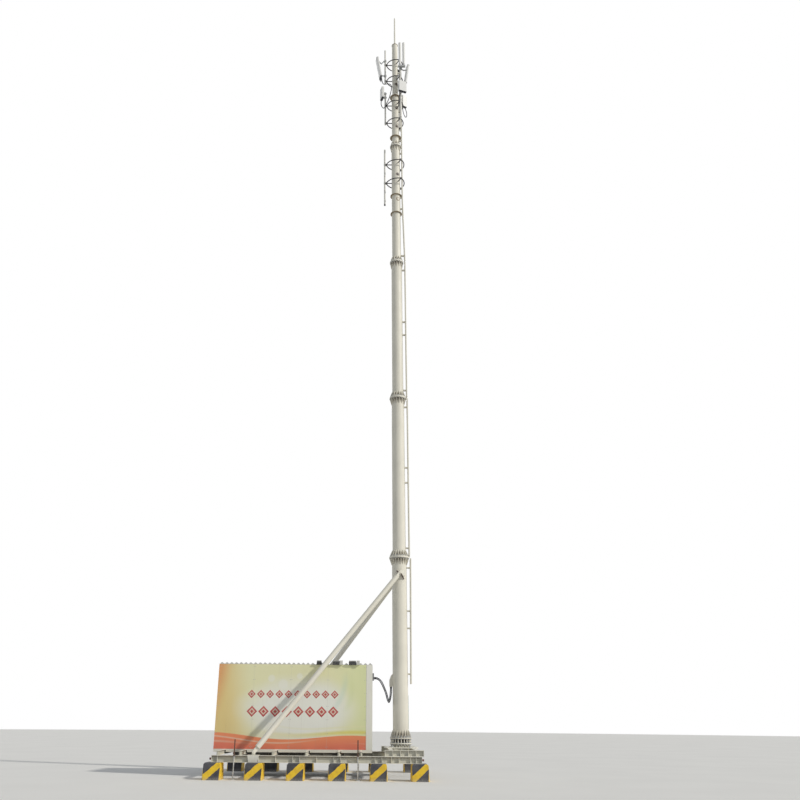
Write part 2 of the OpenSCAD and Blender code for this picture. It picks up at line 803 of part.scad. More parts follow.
module flange(rim_d, bore_d) {
    difference() {
        cylinder(h = flange_t, d = rim_d, $fn = round_fn);
        translate([0, 0, -eps])
            cylinder(h = flange_t + 2 * eps, d = bore_d, $fn = round_fn);
    }
}

module tube(height, outer_d, wall) {
    difference() {
        cylinder(h = height, d = outer_d, $fn = round_fn);
        translate([0, 0, -eps])
            cylinder(h = height + 2 * eps, d = outer_d - 2 * wall, $fn = round_fn);
    }
}

module pedestal() {
    color(STEEL)
        translate([pole_x, 0, plate_z]) {
            linear_extrude(base_plate_t)
                chamfered_rectangle(base_plate_w, base_plate_w, 60);
            translate([0, 0, base_plate_t])
                tube(stub_h, sec1_d, pole_wall);
            translate([0, 0, base_plate_t])
                gussets(gusset_n[0], sec1_d, flange0_d, stub_h);
            translate([0, 0, base_plate_t + stub_h])
                flange(flange0_d, sec1_d - 2 * pole_wall);
        }
}

module anchor_studs() {
    count = gusset_n[0];
    reach = (flange0_d + sec1_d) / 4 + 8;
    color(GREY)
        translate([pole_x, 0, ring_z + flange_t])
            for (i = [0 : count - 1])
                rotate([0, 0, i * 360 / count])
                    translate([reach, 0, 0])
                        cylinder(h = stud_gap, d = stud_d, $fn = 8);
}

// One flanged length of pole; the last one ends plain under the cap
module pole_length(i) {
    bore = sec_d[i] - 2 * pole_wall;
    last = i == 4;
    plain = last ? reducer_at : sec_len[i];
    translate([pole_x, 0, sec_z[i]]) {
        tube(plain, sec_d[i], pole_wall);
        flange(flange_d[i], bore);
        translate([0, 0, flange_t])
            gussets(gusset_n[i], sec_d[i], flange_d[i], gusset_h);
        if (!last) {
            translate([0, 0, sec_len[i] - flange_t])
                flange(flange_d[i + 1], bore);
            translate([0, 0, sec_len[i] - flange_t])
                gussets(gusset_n[i + 1], sec_d[i], flange_d[i + 1], gusset_h, true);
        }
    }
}

module pole_section_1() {
    color(CREAM) pole_length(0);
}

module pole_section_2() {
    color(CREAM) pole_length(1);
}

module pole_section_3() {
    color(CREAM) pole_length(2);
}

module pole_section_4() {
    color(CREAM) {
        pole_length(3);
        port_rim(sec_z[3] + port4_up, sec4_d);
    }
}

module pole_section_5() {
    color(CREAM) {
        pole_length(4);
        translate([pole_x, 0, sec_z[4] + reducer_at])
            rotate_extrude($fn = round_fn)
                polygon([
                    [sec5_d / 2 - pole_wall, 0], [sec5_d / 2, 0],
                    [top_d / 2, reducer_h], [top_d / 2, sec5_len - reducer_at],
                    [top_d / 2 - pole_wall, sec5_len - reducer_at],
                    [top_d / 2 - pole_wall, reducer_h]
                ]);
        port_rim(sec_z[4] + port1_up, sec5_d);
        port_rim(sec_z[4] + port2_up, sec5_d);
        port_rim(sec_z[4] + port3_up, top_d);
    }
}

// Round bar pointing out of the front of the pole, a little to the right of its middle
module radial_bar(z, inner_r, length, diameter) {
    translate([pole_x, 0, z])
        rotate([0, 90, port_azimuth])
            translate([0, 0, inner_r])
                cylinder(h = length, d = diameter, $fn = small_fn);
}

// Raised rim of a cable port, a short boss on the tube
module port_rim(z, tube_d) {
    root = tube_d / 2 - pole_wall;
    radial_bar(z, root, pole_wall + port_rim_out, port_d + 2 * port_rim_w);
}

module port_plug(z, tube_d) {
    radial_bar(z, tube_d / 2 + port_rim_out, plug_t, port_d);
}

// Oval cover plate that follows the tube's curve
module hand_hole_cover(z, tube_d) {
    cover_w = 90;
    cover_h = 130;
    cover_t = 7;
    straight = cover_h - cover_w;
    intersection() {
        translate([pole_x, 0, z - cover_h])
            difference() {
                cylinder(h = 2 * cover_h, d = tube_d + 2 * (cover_t + seat), $fn = round_fn);
                translate([0, 0, -eps])
                    cylinder(h = 2 * cover_h + 2 * eps, d = tube_d + 2 * seat, $fn = round_fn);
            }
        union() {
            for (s = [-1, 1])
                radial_bar(z + s * straight / 2, 0, tube_d, cover_w);
            translate([pole_x, 0, z])
                rotate([0, 0, port_azimuth])
                    translate([0, -cover_w / 2, -straight / 2])
                        cube([tube_d, cover_w, straight]);
        }
    }
}

module port_covers() {
    color(DARK) {
        port_plug(sec_z[3] + port4_up, sec4_d);
        port_plug(sec_z[4] + port1_up, sec5_d);
        port_plug(sec_z[4] + port2_up, sec5_d);
        port_plug(sec_z[4] + port3_up, top_d);
        radial_bar(
            sec_z[4] + port2_up, sec5_d / 2 + port_rim_out + plug_t, gland_nose_len, boot_d
        );
        hand_hole_cover(sec_z[3] + hand_hole_up, sec4_d);
    }
}

module ring_plate(z, tube_d, rim_d) {
    translate([pole_x, 0, z])
        difference() {
            cylinder(h = ring_plate_t, d = rim_d, $fn = round_fn);
            translate([0, 0, -eps])
                cylinder(h = ring_plate_t + 2 * eps, d = tube_d + 2 * seat, $fn = round_fn);
        }
}

module ring_plates() {
    color(CREAM) {
        ring_plate(sec_z[4] + reducer_at - ring_plate_t, sec5_d, collar_d);
        ring_plate(sec_z[4] + ring1_up, sec5_d, ring_plate_d);
        ring_plate(sec_z[3] + ring2_up, sec4_d, ring_plate_d);
        ring_plate(sec_z[3] + ring3_up, sec4_d, ring_plate_d);
    }
}

module pole_cap() {
    color(CREAM)
        translate([pole_x, 0, top_z])
            cylinder(h = cap_t, d = top_d + 24, $fn = round_fn);
}

module lightning_rod() {
    tip_h = 80;
    collar_h = 30;
    color(CREAM)
        translate([pole_x, 0, top_z + cap_t])
            rotate_extrude($fn = small_fn)
                polygon([
                    [0, 0], [rod_d, 0], [rod_d, collar_h], [rod_d / 2, collar_h],
                    [rod_d / 2, rod_len / 2], [rod_d * 0.42, rod_len / 2 + collar_h],
                    [rod_d * 0.42, rod_len - tip_h], [0, rod_len]
                ]);
}

// Straight run of ladder between two distances from the pole's axis, leaning where they differ
module ladder_run(foot_off, z0, head_off, z1) {
    length = norm([head_off - foot_off, z1 - z0]);
    first_rung = 50;
    rungs = floor((length - first_rung - rung_d) / rung_pitch);
    translate([pole_x + foot_off, 0, z0])
        rotate([0, atan2(head_off - foot_off, z1 - z0), 0]) {
            for (s = [-1, 1])
                translate([0, s * ladder_w / 2, 0])
                    cylinder(h = length, d = rail_d, $fn = 8);
            for (k = [0 : rungs])
                translate([0, 0, first_rung + k * rung_pitch])
                    rotate([90, 0, 0])
                        cylinder(h = ladder_w, d = rung_d, center = true, $fn = 6);
        }
}

// Bar behind the rails with an arm back to the pole's face
module stand_off(z, off, tube_d) {
    bar = 40;
    bar_t = 12;
    arm_w = 64;
    translate([pole_x, 0, z])
        difference() {
            translate([0, 0, -bar / 2]) {
                translate([off - rail_d / 2, -ladder_w / 2, 0])
                    cube([bar_t, ladder_w, bar]);
                translate([0, -arm_w / 2, 0])
                    cube([off - rail_d / 2 + eps, arm_w, bar]);
            }
            cylinder(h = 2 * bar, d = tube_d + 2 * seat, center = true, $fn = round_fn);
        }
}

// Stand-offs near the ends of a ladder length and on both sides of its middle
hold_in = 260;
hold_spread = 240;
function hold_heights(z0, z1) =
    [z0 + hold_in, (z0 + z1) / 2 - hold_spread, (z0 + z1) / 2 + hold_spread, z1 - hold_in];

function between(z, z0, z1, off0, off1) = off0 + (off1 - off0) * (z - z0) / (z1 - z0);

module ladder_length(foot_off, z0, head_off, z1, tube_d) {
    ladder_run(foot_off, z0, head_off, z1);
    for (z = hold_heights(z0, z1))
        stand_off(z, between(z, z0, z1, foot_off, head_off), tube_d);
}

// The fourth length leans in to pass inside the hoops, then turns upright
module bent_ladder_length(z0, z1) {
    ladder_run(ladder4_off, z0, ladder_top_off, ladder_bend_z);
    ladder_run(ladder_top_off, ladder_bend_z, ladder_top_off, z1);
    for (z = hold_heights(z0, z1))
        stand_off(
            z,
            between(min(z, ladder_bend_z), z0, ladder_bend_z, ladder4_off, ladder_top_off),
            sec4_d
        );
}

// The last length runs past the reducer, up to the top hoop
module top_ladder_length(z0, z1) {
    ladder_run(ladder_top_off, z0, ladder_top_off, z1);
    for (z = hold_heights(z0, z1))
        stand_off(z, ladder_top_off, z < sec_z[4] + reducer_at ? sec5_d : top_d);
}

module ladder() {
    gap = ladder_end_gap;
    color(CREAM) {
        ladder_length(ladder_foot_off, ladder_foot, ladder1_off, sec_z[1] - gap, sec1_d);
        ladder_length(ladder2_off, sec_z[1] + gap, ladder2_off, sec_z[2] - gap, sec2_d);
        ladder_length(ladder3_off, sec_z[2] + gap, ladder3_off, sec_z[3] - gap, sec3_d);
        bent_ladder_length(sec_z[3] + gap, sec_z[4] - gap);
        top_ladder_length(sec_z[4] + gap, hoop4_z - ladder_below_hoop);
    }
}

module earth_strip() {
    foot = base_z + flange_t + gusset_h + 30;
    color(DARK)
        translate([pole_x + sec1_d / 2 + seat, -15, foot])
            cube([6, 30, ladder_foot - foot - 300]);
}

// Bowed triangle of round bar about the pole, with three spokes to its corners
module hoop(z, corner_r, side_r, tube_d) {
    half_chord = corner_r * sin(60);
    rise = side_r - corner_r / 2;
    bow_r = (half_chord * half_chord + rise * rise) / (2 * rise);
    sweep = 2 * asin(half_chord / bow_r);
    translate([pole_x, 0, z])
        difference() {
            for (a = [60, 180, 300]) {
                rotate([0, 0, a + 60])
                    translate([side_r - bow_r, 0, 0])
                        rotate([0, 0, -sweep / 2])
                            rotate_extrude(angle = sweep, $fn = 64)
                                translate([bow_r, 0])
                                    circle(d = hoop_bar_d, $fn = 16);
                rotate([0, 0, a]) {
                    translate([0, -hoop_bar_d * 0.4, -hoop_bar_d * 0.3])
                        cube([corner_r, hoop_bar_d * 0.8, hoop_bar_d * 0.6]);
                    translate([corner_r, 0, 0])
                        cube([2 * hoop_node_out, hoop_node_w, hoop_node_w], center = true);
                }
            }
            cylinder(h = 2 * hoop_node_w, d = tube_d + 2 * seat, center = true, $fn = round_fn);
        }
}

module lower_hoops() {
    color(DARK) {
        hoop(hoop5_z, low_hoop_r, low_hoop_side_r, sec4_d);
        hoop(hoop6_z, low_hoop_r, low_hoop_side_r, sec4_d);
    }
}

module upper_hoops() {
    color(DARK) {
        hoop(hoop1_z, hoop_r, hoop_side_r, sec5_d);
        hoop(hoop2_z, hoop_r, hoop_side_r, sec5_d);
        hoop(hoop3_z, hoop_r, hoop_side_r, top_d);
        hoop(hoop4_z, hoop_r, hoop_side_r, top_d);
    }
}

module upright(azimuth, reach, z0, z1) {
    translate([pole_x, 0, z0])
        rotate([0, 0, azimuth])
            translate([reach, 0, 0])
                cylinder(h = z1 - z0, d = pipe_d, $fn = small_fn);
}

module antenna_pipes() {
    foot_z = hoop1_z - pipe_tail;
    color(CREAM) {
        upright(180, pipe_r, foot_z, hoop2_z + left_pipe_head);
        upright(180, pipe_r, hoop3_z - left_pipe_tail, top_z - pipe_below_top);
        upright(-60, pipe_r, foot_z, hoop4_z + pipe_head);
        upright(60, pipe_r, foot_z, hoop4_z + pipe_head);
        upright(180, low_pipe_r, hoop5_z - low_pipe_tail, hoop6_z + low_pipe_head);
    }
}

// Frame on the axis of an upper pipe, its X axis turned to the side that a piece faces
module at_pipe(azimuth, facing, z) {
    translate([pole_x + pipe_r * cos(azimuth), pipe_r * sin(azimuth), z])
        rotate([0, 0, facing])
            children();
}

// Block clamped round a pipe, its foot at the origin
module pipe_clamp(height) {
    width = pipe_d + 2 * bracket_rim;
    difference() {
        translate([-width / 2, -width / 2, 0])
            cube([width, width, height]);
        translate([0, 0, -eps])
            cylinder(h = height + 2 * eps, d = pipe_d + 2 * seat, $fn = small_fn);
    }
}

omni_bar_t = 44;
omni_bar_d = 100;
omni_first = -15;
omni_bar_z = hoop4_z - omni_bar_drop;

// Bar across the front of the front pipe that carries the two rod antennas
module rod_bar() {
    at_pipe(-60, 0, omni_bar_z - omni_bar_t / 2) {
        pipe_clamp(omni_bar_t);
        translate([omni_first - omni_d * 0.78, -pipe_d / 2 - bracket_rim - omni_bar_d, 0])
            cube([omni_gap + omni_d * 1.31, omni_bar_d + eps, omni_bar_t]);
    }
}

// White rod antenna with a narrower foot and a rounded tip
module rod_antenna(shift) {
    collar_h = 60;
    at_pipe(-60, 0, omni_bar_z + omni_bar_t / 2)
        translate([shift, -pipe_d / 2 - bracket_rim - omni_bar_d / 2, 0])
            rotate_extrude($fn = small_fn)
                polygon([
                    [0, 0], [omni_d * 0.42, 0], [omni_d * 0.42, collar_h],
                    [omni_d / 2, collar_h + 10], [omni_d / 2, omni_len - 40],
                    [omni_d * 0.42, omni_len - 16], [omni_d * 0.22, omni_len], [0, omni_len]
                ]);
}

module rod_antennas() {
    color(WHITE) {
        rod_antenna(omni_first);
        rod_antenna(omni_first + omni_gap);
    }
}

module rounded_rectangle(width, depth, radius) {
    square([width - 2 * radius, depth], center = true);
    square([width, depth - 2 * radius], center = true);
    for (sx = [-1, 1], sy = [-1, 1])
        translate([sx * (width / 2 - radius), sy * (depth / 2 - radius)])
            circle(r = radius, $fn = small_fn);
}

panel_round = 34;

// Frame at the middle of a panel's foot, its Z axis along the tilted panel
module at_left_panel() {
    at_pipe(180, left_panel_facing, hoop4_z - panel1_drop)
        translate([panel1_reach, 0, 0])
            rotate([0, panel1_tilt, 0])
                children();
}

module at_right_panel() {
    at_pipe(-60, right_panel_facing, hoop4_z - panel2_drop)
        translate([panel2_reach, 0, 0])
            rotate([0, panel2_tilt, 0])
                children();
}

// Panel body, a rounded box with end caps a little wider than itself
module panel_body(length, grow = 0) {
    cap_h = 26;
    rim = 4;
    translate([0, 0, -grow])
        linear_extrude(length + 2 * grow)
            rotate([0, 0, 90])
                rounded_rectangle(panel_w + 2 * grow, panel_d + 2 * grow, panel_round);
    for (z = [0, length - cap_h])
        translate([0, 0, z - grow])
            linear_extrude(cap_h + 2 * grow)
                rotate([0, 0, 90])
                    rounded_rectangle(
                        panel_w + 2 * (rim + grow), panel_d + 2 * (rim + grow), panel_round
                    );
}

module panel_antennas() {
    color(WHITE) {
        at_left_panel() panel_body(panel1_len);
        at_right_panel() panel_body(panel2_len);
    }
}

link_w = 44;
link_t = 16;

// Flat link between two pins, given in the X-Z plane
module link(from, to) {
    run = to - from;
    translate([from[0], 0, from[1]])
        rotate([0, -atan2(run[1], run[0]), 0]) {
            translate([0, -link_w / 2, -link_t / 2])
                cube([norm(run), link_w, link_t]);
            for (x = [0, norm(run)])
                translate([x, 0, 0])
                    rotate([90, 0, 0])
                        cylinder(h = link_w, d = link_t * 1.6, center = true, $fn = small_fn);
        }
}

// Height and reach of a point on the panel's back, at a distance along it from its foot
function on_back(reach, tilt, along) = [
    reach + along * sin(tilt) - panel_d / 2 * cos(tilt),
    along * cos(tilt) + panel_d / 2 * sin(tilt)
];

// Foot clamp and upper folding arm of a panel; the knee hangs below the arm's ends by a drop
module panel_arms(reach, tilt, arm_up, knee_drop) {
    low = on_back(reach, tilt, 90);
    high = on_back(reach, tilt, arm_up);
    start = [pipe_d / 2 + 10, high[1]];
    clamp_h = 50;
    for (z = [low[1], high[1]])
        translate([0, 0, z - clamp_h / 2])
            pipe_clamp(clamp_h);
    link([start[0], low[1]], [low[0] + link_t / 2, low[1]]);
    link(start, [(start[0] + high[0]) / 2, high[1] - knee_drop]);
    link([(start[0] + high[0]) / 2, high[1] - knee_drop], [high[0] + link_t / 2, high[1]]);
}

module panel_brackets() {
    difference() {
        at_pipe(180, left_panel_facing, hoop4_z - panel1_drop)
            panel_arms(panel1_reach, panel1_tilt, panel1_len * 0.92, 150);
        at_left_panel() panel_body(panel1_len, seat);
        upright(180, pipe_r, hoop1_z, top_z);
    }
    difference() {
        at_pipe(-60, right_panel_facing, hoop4_z - panel2_drop)
            panel_arms(panel2_reach, panel2_tilt, panel2_len * 0.8, 30);
        at_right_panel() panel_body(panel2_len, seat);
        upright(-60, pipe_r, hoop1_z, top_z);
    }
}

// Frames at the middle of a radio's foot
module at_front_radio() {
    translate(on_front_radio([0, 0, 0])) rotate([0, 0, front_radio_facing]) children();
}

module at_rear_radio() {
    translate(on_rear_radio([0, 0, 0])) rotate([0, 0, rear_radio_facing]) children();
}

module at_left_radio() {
    translate(on_left_radio([0, 0, 0])) rotate([0, 0, left_radio_facing]) children();
}

// Radio housing of a width, depth and height
module radio_body(size) {
    corner = 18;
    lip = 6;
    translate([0, 0, lip])
        linear_extrude(size[2] - 2 * lip)
            rotate([0, 0, 90])
                rounded_rectangle(size[0], size[1], corner);
    linear_extrude(size[2])
        rotate([0, 0, 90])
            rounded_rectangle(size[0] - 2 * lip, size[1] - 2 * lip, corner);
}

module radio_boxes() {
    color(WHITE) {
        at_front_radio() radio_body(front_radio);
        at_rear_radio() radio_body(rear_radio);
        at_left_radio() radio_body(left_radio);
    }
}

// Clamps at the head and foot of a radio, with a block from each to the radio's back
module radio_bracket(size, back, shift) {
    clamp_h = 44;
    block_half = 40;
    for (z = [size[2] * 0.12, size[2] * 0.5])
        translate([0, 0, z])
            difference() {
                union() {
                    pipe_clamp(clamp_h);
                    translate([0, -block_half, 0])
                        cube([back - seat, 2 * block_half + max(shift, 0), clamp_h]);
                }
                translate([0, 0, -eps])
                    cylinder(h = clamp_h + 2 * eps, d = pipe_d + 2 * seat, $fn = small_fn);
            }
}

module radio_brackets() {
    at_pipe(-60, front_radio_facing, hoop2_z + front_radio_up)
        radio_bracket(front_radio, front_radio_back, front_radio_shift);
    at_pipe(60, rear_radio_facing, hoop2_z + rear_radio_up)
        radio_bracket(rear_radio, rear_radio_back, rear_radio_shift);
    at_pipe(180, left_radio_facing, hoop2_z + left_radio_up)
        radio_bracket(left_radio, left_radio_back, 0);
}

module antenna_brackets() {
    color(GREY) {
        rod_bar();
        panel_brackets();
        radio_brackets();
    }
}

module boots(places, diameter, length) {
    for (place = places)
        translate(below(place, length))
            cylinder(h = length, d = diameter, $fn = 12);
}

module connectors() {
    color(DARK) {
        at_front_radio() boots(front_radio_boots, boot_d, boot_len);
        at_rear_radio() boots(rear_radio_boots, boot_d, boot_len);
        at_left_radio() boots(left_radio_boots, boot_d, radio_boot_len);
        at_left_panel() boots(left_panel_boots, wrapped_boot_d, wrapped_boot_len);
        at_right_panel() boots(right_panel_boots, boot_d, boot_len);
    }
}

module jumper_cables() {
    color(DARK) {
        cable(panel_jumper, jumper_d, 6);
        cable(port_jumper, lead_d, 6);
        cable(radio_jumper, lead_d, 6);
    }
}

// Brace from its foot pin to its pin on the pole, with a fork at each end
module brace() {
    translate(brace_foot)
        rotate([0, brace_lean, brace_turn]) {
            translate([0, 0, fork_len])
                tube(brace_len - 2 * fork_len, brace_d, brace_wall);
            for (z = [fork_len - 10, brace_len - fork_len])
                translate([0, 0, z])
                    cylinder(h = 10, d = brace_d, $fn = round_fn);
            for (s = [-1, 1])
                fork_ears(s);
            for (z = [0, brace_len])
                translate([0, 0, z])
                    rotate([90, 0, 0])
                        cylinder(
                            h = lug_t + 2 * (ear_t + ear_gap) + 24, d = brace_pin_d,
                            center = true, $fn = small_fn
                        );
        }
}

module fork_ears(side) {
    ear_w = brace_d * 0.62;
    offset_y = side * (lug_t / 2 + ear_gap + ear_t / 2);
    for (z = [0, brace_len - fork_len + 5])
        translate([-ear_w / 2, offset_y - ear_t / 2, z])
            cube([ear_w, ear_t, fork_len - 5]);
    for (z = [0, brace_len])
        translate([0, offset_y, z])
            rotate([90, 0, 0])
                cylinder(h = ear_t, d = ear_w, center = true, $fn = small_fn);
}

module front_brace() {
    color(CREAM) brace();
}

module rear_brace() {
    color(CREAM) mirror([0, 1, 0]) brace();
}

// Lug beside the pole for one brace, carried by two level plates cut to the pole's face
module pole_lug() {
    lug_h = 150;
    lug_len = 170;
    reach = 46;
    shelf_t = 14;
    shelf_x = 56;
    difference() {
        translate(brace_top)
            rotate([0, 0, brace_turn]) {
                translate([0, -lug_t / 2, -lug_h / 2])
                    cube([lug_len, lug_t, lug_h]);
                rotate([90, 0, 0])
                    cylinder(h = lug_t, r = reach, center = true, $fn = small_fn);
                translate([-1, -lug_t / 2, -reach])
                    cube([reach, lug_t, 2 * reach]);
                for (s = [-1, 1])
                    translate([shelf_x, 0, s * (lug_h - shelf_t) / 2 - shelf_t / 2])
                        cube([lug_len - shelf_x, 95, shelf_t]);
            }
        translate([pole_x, 0, brace_top[2] - lug_h])
            cylinder(h = 2 * lug_h, d = sec1_d + 2 * seat, $fn = round_fn);
        translate(brace_top)
            rotate([90, 0, brace_turn])
                cylinder(
                    h = 2 * lug_t, d = brace_pin_d + 2 * pin_play, center = true, $fn = small_fn
                );
    }
}

// Foot lug on a plate over the long beam, with a tapered plate in front of the web
module brace_foot_plates() {
    pad_t = 12;
    pad_len = 290;
    reach = 44;
    lift = brace_foot_z - joist_z;
    difference() {
        union() {
            translate([brace_foot[0] - pad_len / 2, -row_y - beam_w / 2, joist_z])
                cube([pad_len, beam_w, pad_t]);
            translate(brace_foot)
                rotate([0, 0, brace_turn]) {
                    translate([-reach, -lug_t / 2, -lift + pad_t / 2])
                        cube([2 * reach, lug_t, lift - pad_t / 2]);
                    rotate([90, 0, 0])
                        cylinder(h = lug_t, r = reach, center = true, $fn = small_fn);
                }
            translate([brace_foot[0], -row_y - beam_w / 2, 0])
                rotate([90, 0, 0])
                    linear_extrude(pad_t)
                        polygon([
                            [-pad_len / 2, joist_z + pad_t], [pad_len / 2, joist_z + pad_t],
                            [pad_len * 0.38, beam_z], [-pad_len * 0.38, beam_z]
                        ]);
        }
        translate(brace_foot)
            rotate([90, 0, brace_turn])
                cylinder(
                    h = 2 * lug_t, d = brace_pin_d + 2 * pin_play, center = true, $fn = small_fn
                );
    }
}

module brace_brackets() {
    color(STEEL) {
        pole_lug();
        mirror([0, 1, 0]) pole_lug();
        brace_foot_plates();
        mirror([0, 1, 0]) brace_foot_plates();
    }
}

// Screw through a clamp on the beam's upper flange, down to a round foot plate
module levelling_jack(x) {
    plate_t = 14;
    nut_d = jack_d * 1.8;
    translate([x, -row_y - jack_off, 0]) {
        cylinder(h = plate_t, d = jack_foot_d, $fn = small_fn);
        cylinder(h = jack_h, d = jack_d, $fn = small_fn);
        translate([0, 0, joist_z - jack_clamp_h])
            cylinder(h = jack_clamp_h + 20, d = nut_d, $fn = 6);
        translate([-25, 0, joist_z - beam_t])
            cube([50, jack_off - beam_w / 2 - seat, beam_t]);
    }
}

module levelling_jacks() {
    color(GREY)
        for (x = jack_xs) {
            levelling_jack(x);
            mirror([0, 1, 0]) levelling_jack(x);
        }
}

// Rail pieces between the joists under both long edges of the floor, and a lip under the boards
module cabin_skid() {
    edges = concat(
        [cabin_x0],
        [for (x = joist_offsets, s = [-1, 1]) cabin_x + x + s * (joist_w / 2 + 1)],
        [cabin_x1]
    );
    color(STEEL) {
        for (i = [0 : len(edges) / 2 - 1], y = [board_y, -wall_y - skid_w])
            translate([edges[2 * i], y, deck_z - skid_h])
                cube([edges[2 * i + 1] - edges[2 * i], skid_w, skid_h]);
        translate([cabin_x0, board_y, deck_z])
            cube([cabin_len, board_t - seat, rail_lip]);
    }
}

module cabin_floor() {
    color(GREY)
        translate([cabin_x0, wall_y, deck_z])
            cube([cabin_len, -2 * wall_y, floor_t]);
}

module long_wall(y) {
    translate([cabin_x0, y, wall_z])
        cube([cabin_len, wall_t, wall_h]);
}

module end_wall(x) {
    translate([x, wall_y + wall_t, wall_z])
        cube([wall_t, -2 * (wall_y + wall_t), wall_h]);
}

module long_walls() {
    color(WHITE) {
        long_wall(wall_y);
        long_wall(-wall_y - wall_t);
    }
}

module end_walls() {
    color(WHITE) {
        end_wall(cabin_x0);
        end_wall(cabin_x1 - wall_t);
    }
}

module cabin_roof() {
    color(WHITE)
        translate([cabin_x0, wall_y, roof_z - wall_t])
            cube([cabin_len, -2 * wall_y, wall_t]);
}

// Thin waved sheet on the roof, its waves running from front to back
module roof_sheet() {
    per_wave = 8;
    steps = wave_count * per_wave;
    lift = (wave_h - sheet_t) / 2;
    wave = [
        for (i = [0 : steps])
            [i * cabin_len / steps, lift * (1 - cos(360 * i / per_wave))]
    ];
    color(GREY)
        translate([cabin_x0, -wall_y, roof_z])
            rotate([90, 0, 0])
                linear_extrude(-2 * wall_y)
                    polygon(concat(
                        wave, [for (i = [steps : -1 : 0]) wave[i] + [0, sheet_t]]
                    ));
}

// Left edge of each printed board, then the right edge of the last one
function board_edges() = concat(
    [cabin_x0],
    [for (i = [0 : board_count - 2]) cabin_x0 + first_board_w + i * board_w],
    [cabin_x1 - strip_w]
);

module printed_boards() {
    edges = board_edges();
    color("orange")
        for (i = [0 : board_count - 1])
            translate([edges[i], board_y, deck_z + rail_lip])
                cube([
                    edges[i + 1] - edges[i] - board_seam, board_t, cabin_h - rail_lip
                ]);
}

module plain_strip() {
    color(WHITE)
        translate([cabin_x1 - strip_w, board_y, deck_z + rail_lip])
            cube([strip_w, board_t, cabin_h - rail_lip]);
}

lamp_tilt = 28;
lamp_pivot = 56;
yoke_t = 6;
lamp_widths = [lamp_w, lamp_w, small_lamp_w];

// Two of the floodlights stand right and left of the front brace where it passes them
function brace_x(z) = brace_foot[0] + (z - brace_foot[2]) * brace_run[0] / brace_run[2];
brace_half_x = brace_d / 2 * norm([brace_run[0], brace_run[2]]) / brace_run[2];
lamp_side = brace_half_x + lamp_brace_clear + 1.5 * yoke_t;
lamp_xs = [
    cabin_x1 - lamp_from_end,
    brace_x(roof_z + lamp_pivot + lamp_h / 2) + lamp_side + lamp_w / 2,
    brace_x(roof_z) - lamp_side - small_lamp_w / 2
];

// Floodlight in a yoke on the boards' upper edge, looking down past the boards
module floodlight(x, width) {
    foot_h = 22;
    arm_h = 26;
    arm_out = 60;
    lamp_back = 0.6;
    half = width / 2 + yoke_t / 2;
    translate([x, board_y + board_t / 2, roof_z]) {
        translate([-half - yoke_t, -yoke_t / 2, 0])
            cube([2 * (half + yoke_t), yoke_t, foot_h]);
        for (s = [-1, 1])
            translate([s * half + (s < 0 ? -yoke_t : 0), -yoke_t / 2, 0]) {
                cube([yoke_t, yoke_t, lamp_pivot + arm_h / 2]);
                translate([0, yoke_t / 2 - arm_out, lamp_pivot - arm_h / 2])
                    cube([yoke_t, arm_out + yoke_t / 2, arm_h]);
            }
        translate([0, -arm_out, lamp_pivot])
            rotate([lamp_tilt, 0, 0]) {
                rotate([90, 0, 90])
                    linear_extrude(width, center = true)
                        polygon([
                            [-lamp_d / 2, -lamp_h / 2], [-lamp_d / 2, lamp_h / 2],
                            [0, lamp_h / 2], [lamp_d / 2, lamp_h / 2 * lamp_back],
                            [lamp_d / 2, -lamp_h / 2 * lamp_back], [0, -lamp_h / 2]
                        ]);
                rotate([0, 90, 0])
                    cylinder(
                        h = 2 * (half + yoke_t), d = arm_h, center = true, $fn = small_fn
                    );
            }
    }
}

module floodlights() {
    color(DARK)
        for (i = [0 : 2])
            floodlight(lamp_xs[i], lamp_widths[i]);
}

// Inlet box on the cabin's right wall, with a gland for each feeder cable
module inlet_box() {
    width = 150;
    height = 190;
    foot_z = inlet_glands[1][1] - 50;
    translate([cabin_x1, inlet_glands[0][0] - width / 2, foot_z])
        cube([inlet_out, width, height]);
    for (place = inlet_glands)
        translate([cabin_x1 + inlet_out, place[0], place[1]])
            rotate([0, 90, 0])
                cylinder(h = inlet_gland_len, d = gland_d, $fn = small_fn);
}

// Hood on the left of the pole, with a sloping top and glands under its foot
module hood() {
    face = sec1_d / 2;
    difference() {
        translate([pole_x, 0, hood_z])
            rotate([90, 0, 0])
                linear_extrude(hood_w, center = true)
                    polygon([
                        [-face + 60, 0], [-face - hood_out, 0], [-face - hood_out, hood_h * 0.5],
                        [-face - hood_out * 0.55, hood_h * 0.85], [-face, hood_h],
                        [-face + 60, hood_h]
                    ]);
        translate([pole_x, 0, hood_z - eps])
            cylinder(h = hood_h + 2 * eps, d = sec1_d + 2 * seat, $fn = round_fn);
    }
    for (place = hood_glands)
        translate([pole_x + place[0], place[1], hood_z - hood_gland_len])
            cylinder(h = hood_gland_len + eps, d = gland_d, $fn = small_fn);
}

module cable_entries() {
    color(GREY) {
        inlet_box();
        hood();
    }
}

module feeder_1() {
    color(DARK) cable(feeder_route_1, feeder_d, 10);
}

module feeder_2() {
    color(DARK) cable(feeder_route_2, feeder_d, 10);
}

module feeder_3() {
    color(DARK) cable(feeder_route_3, feeder_d, 10);
}

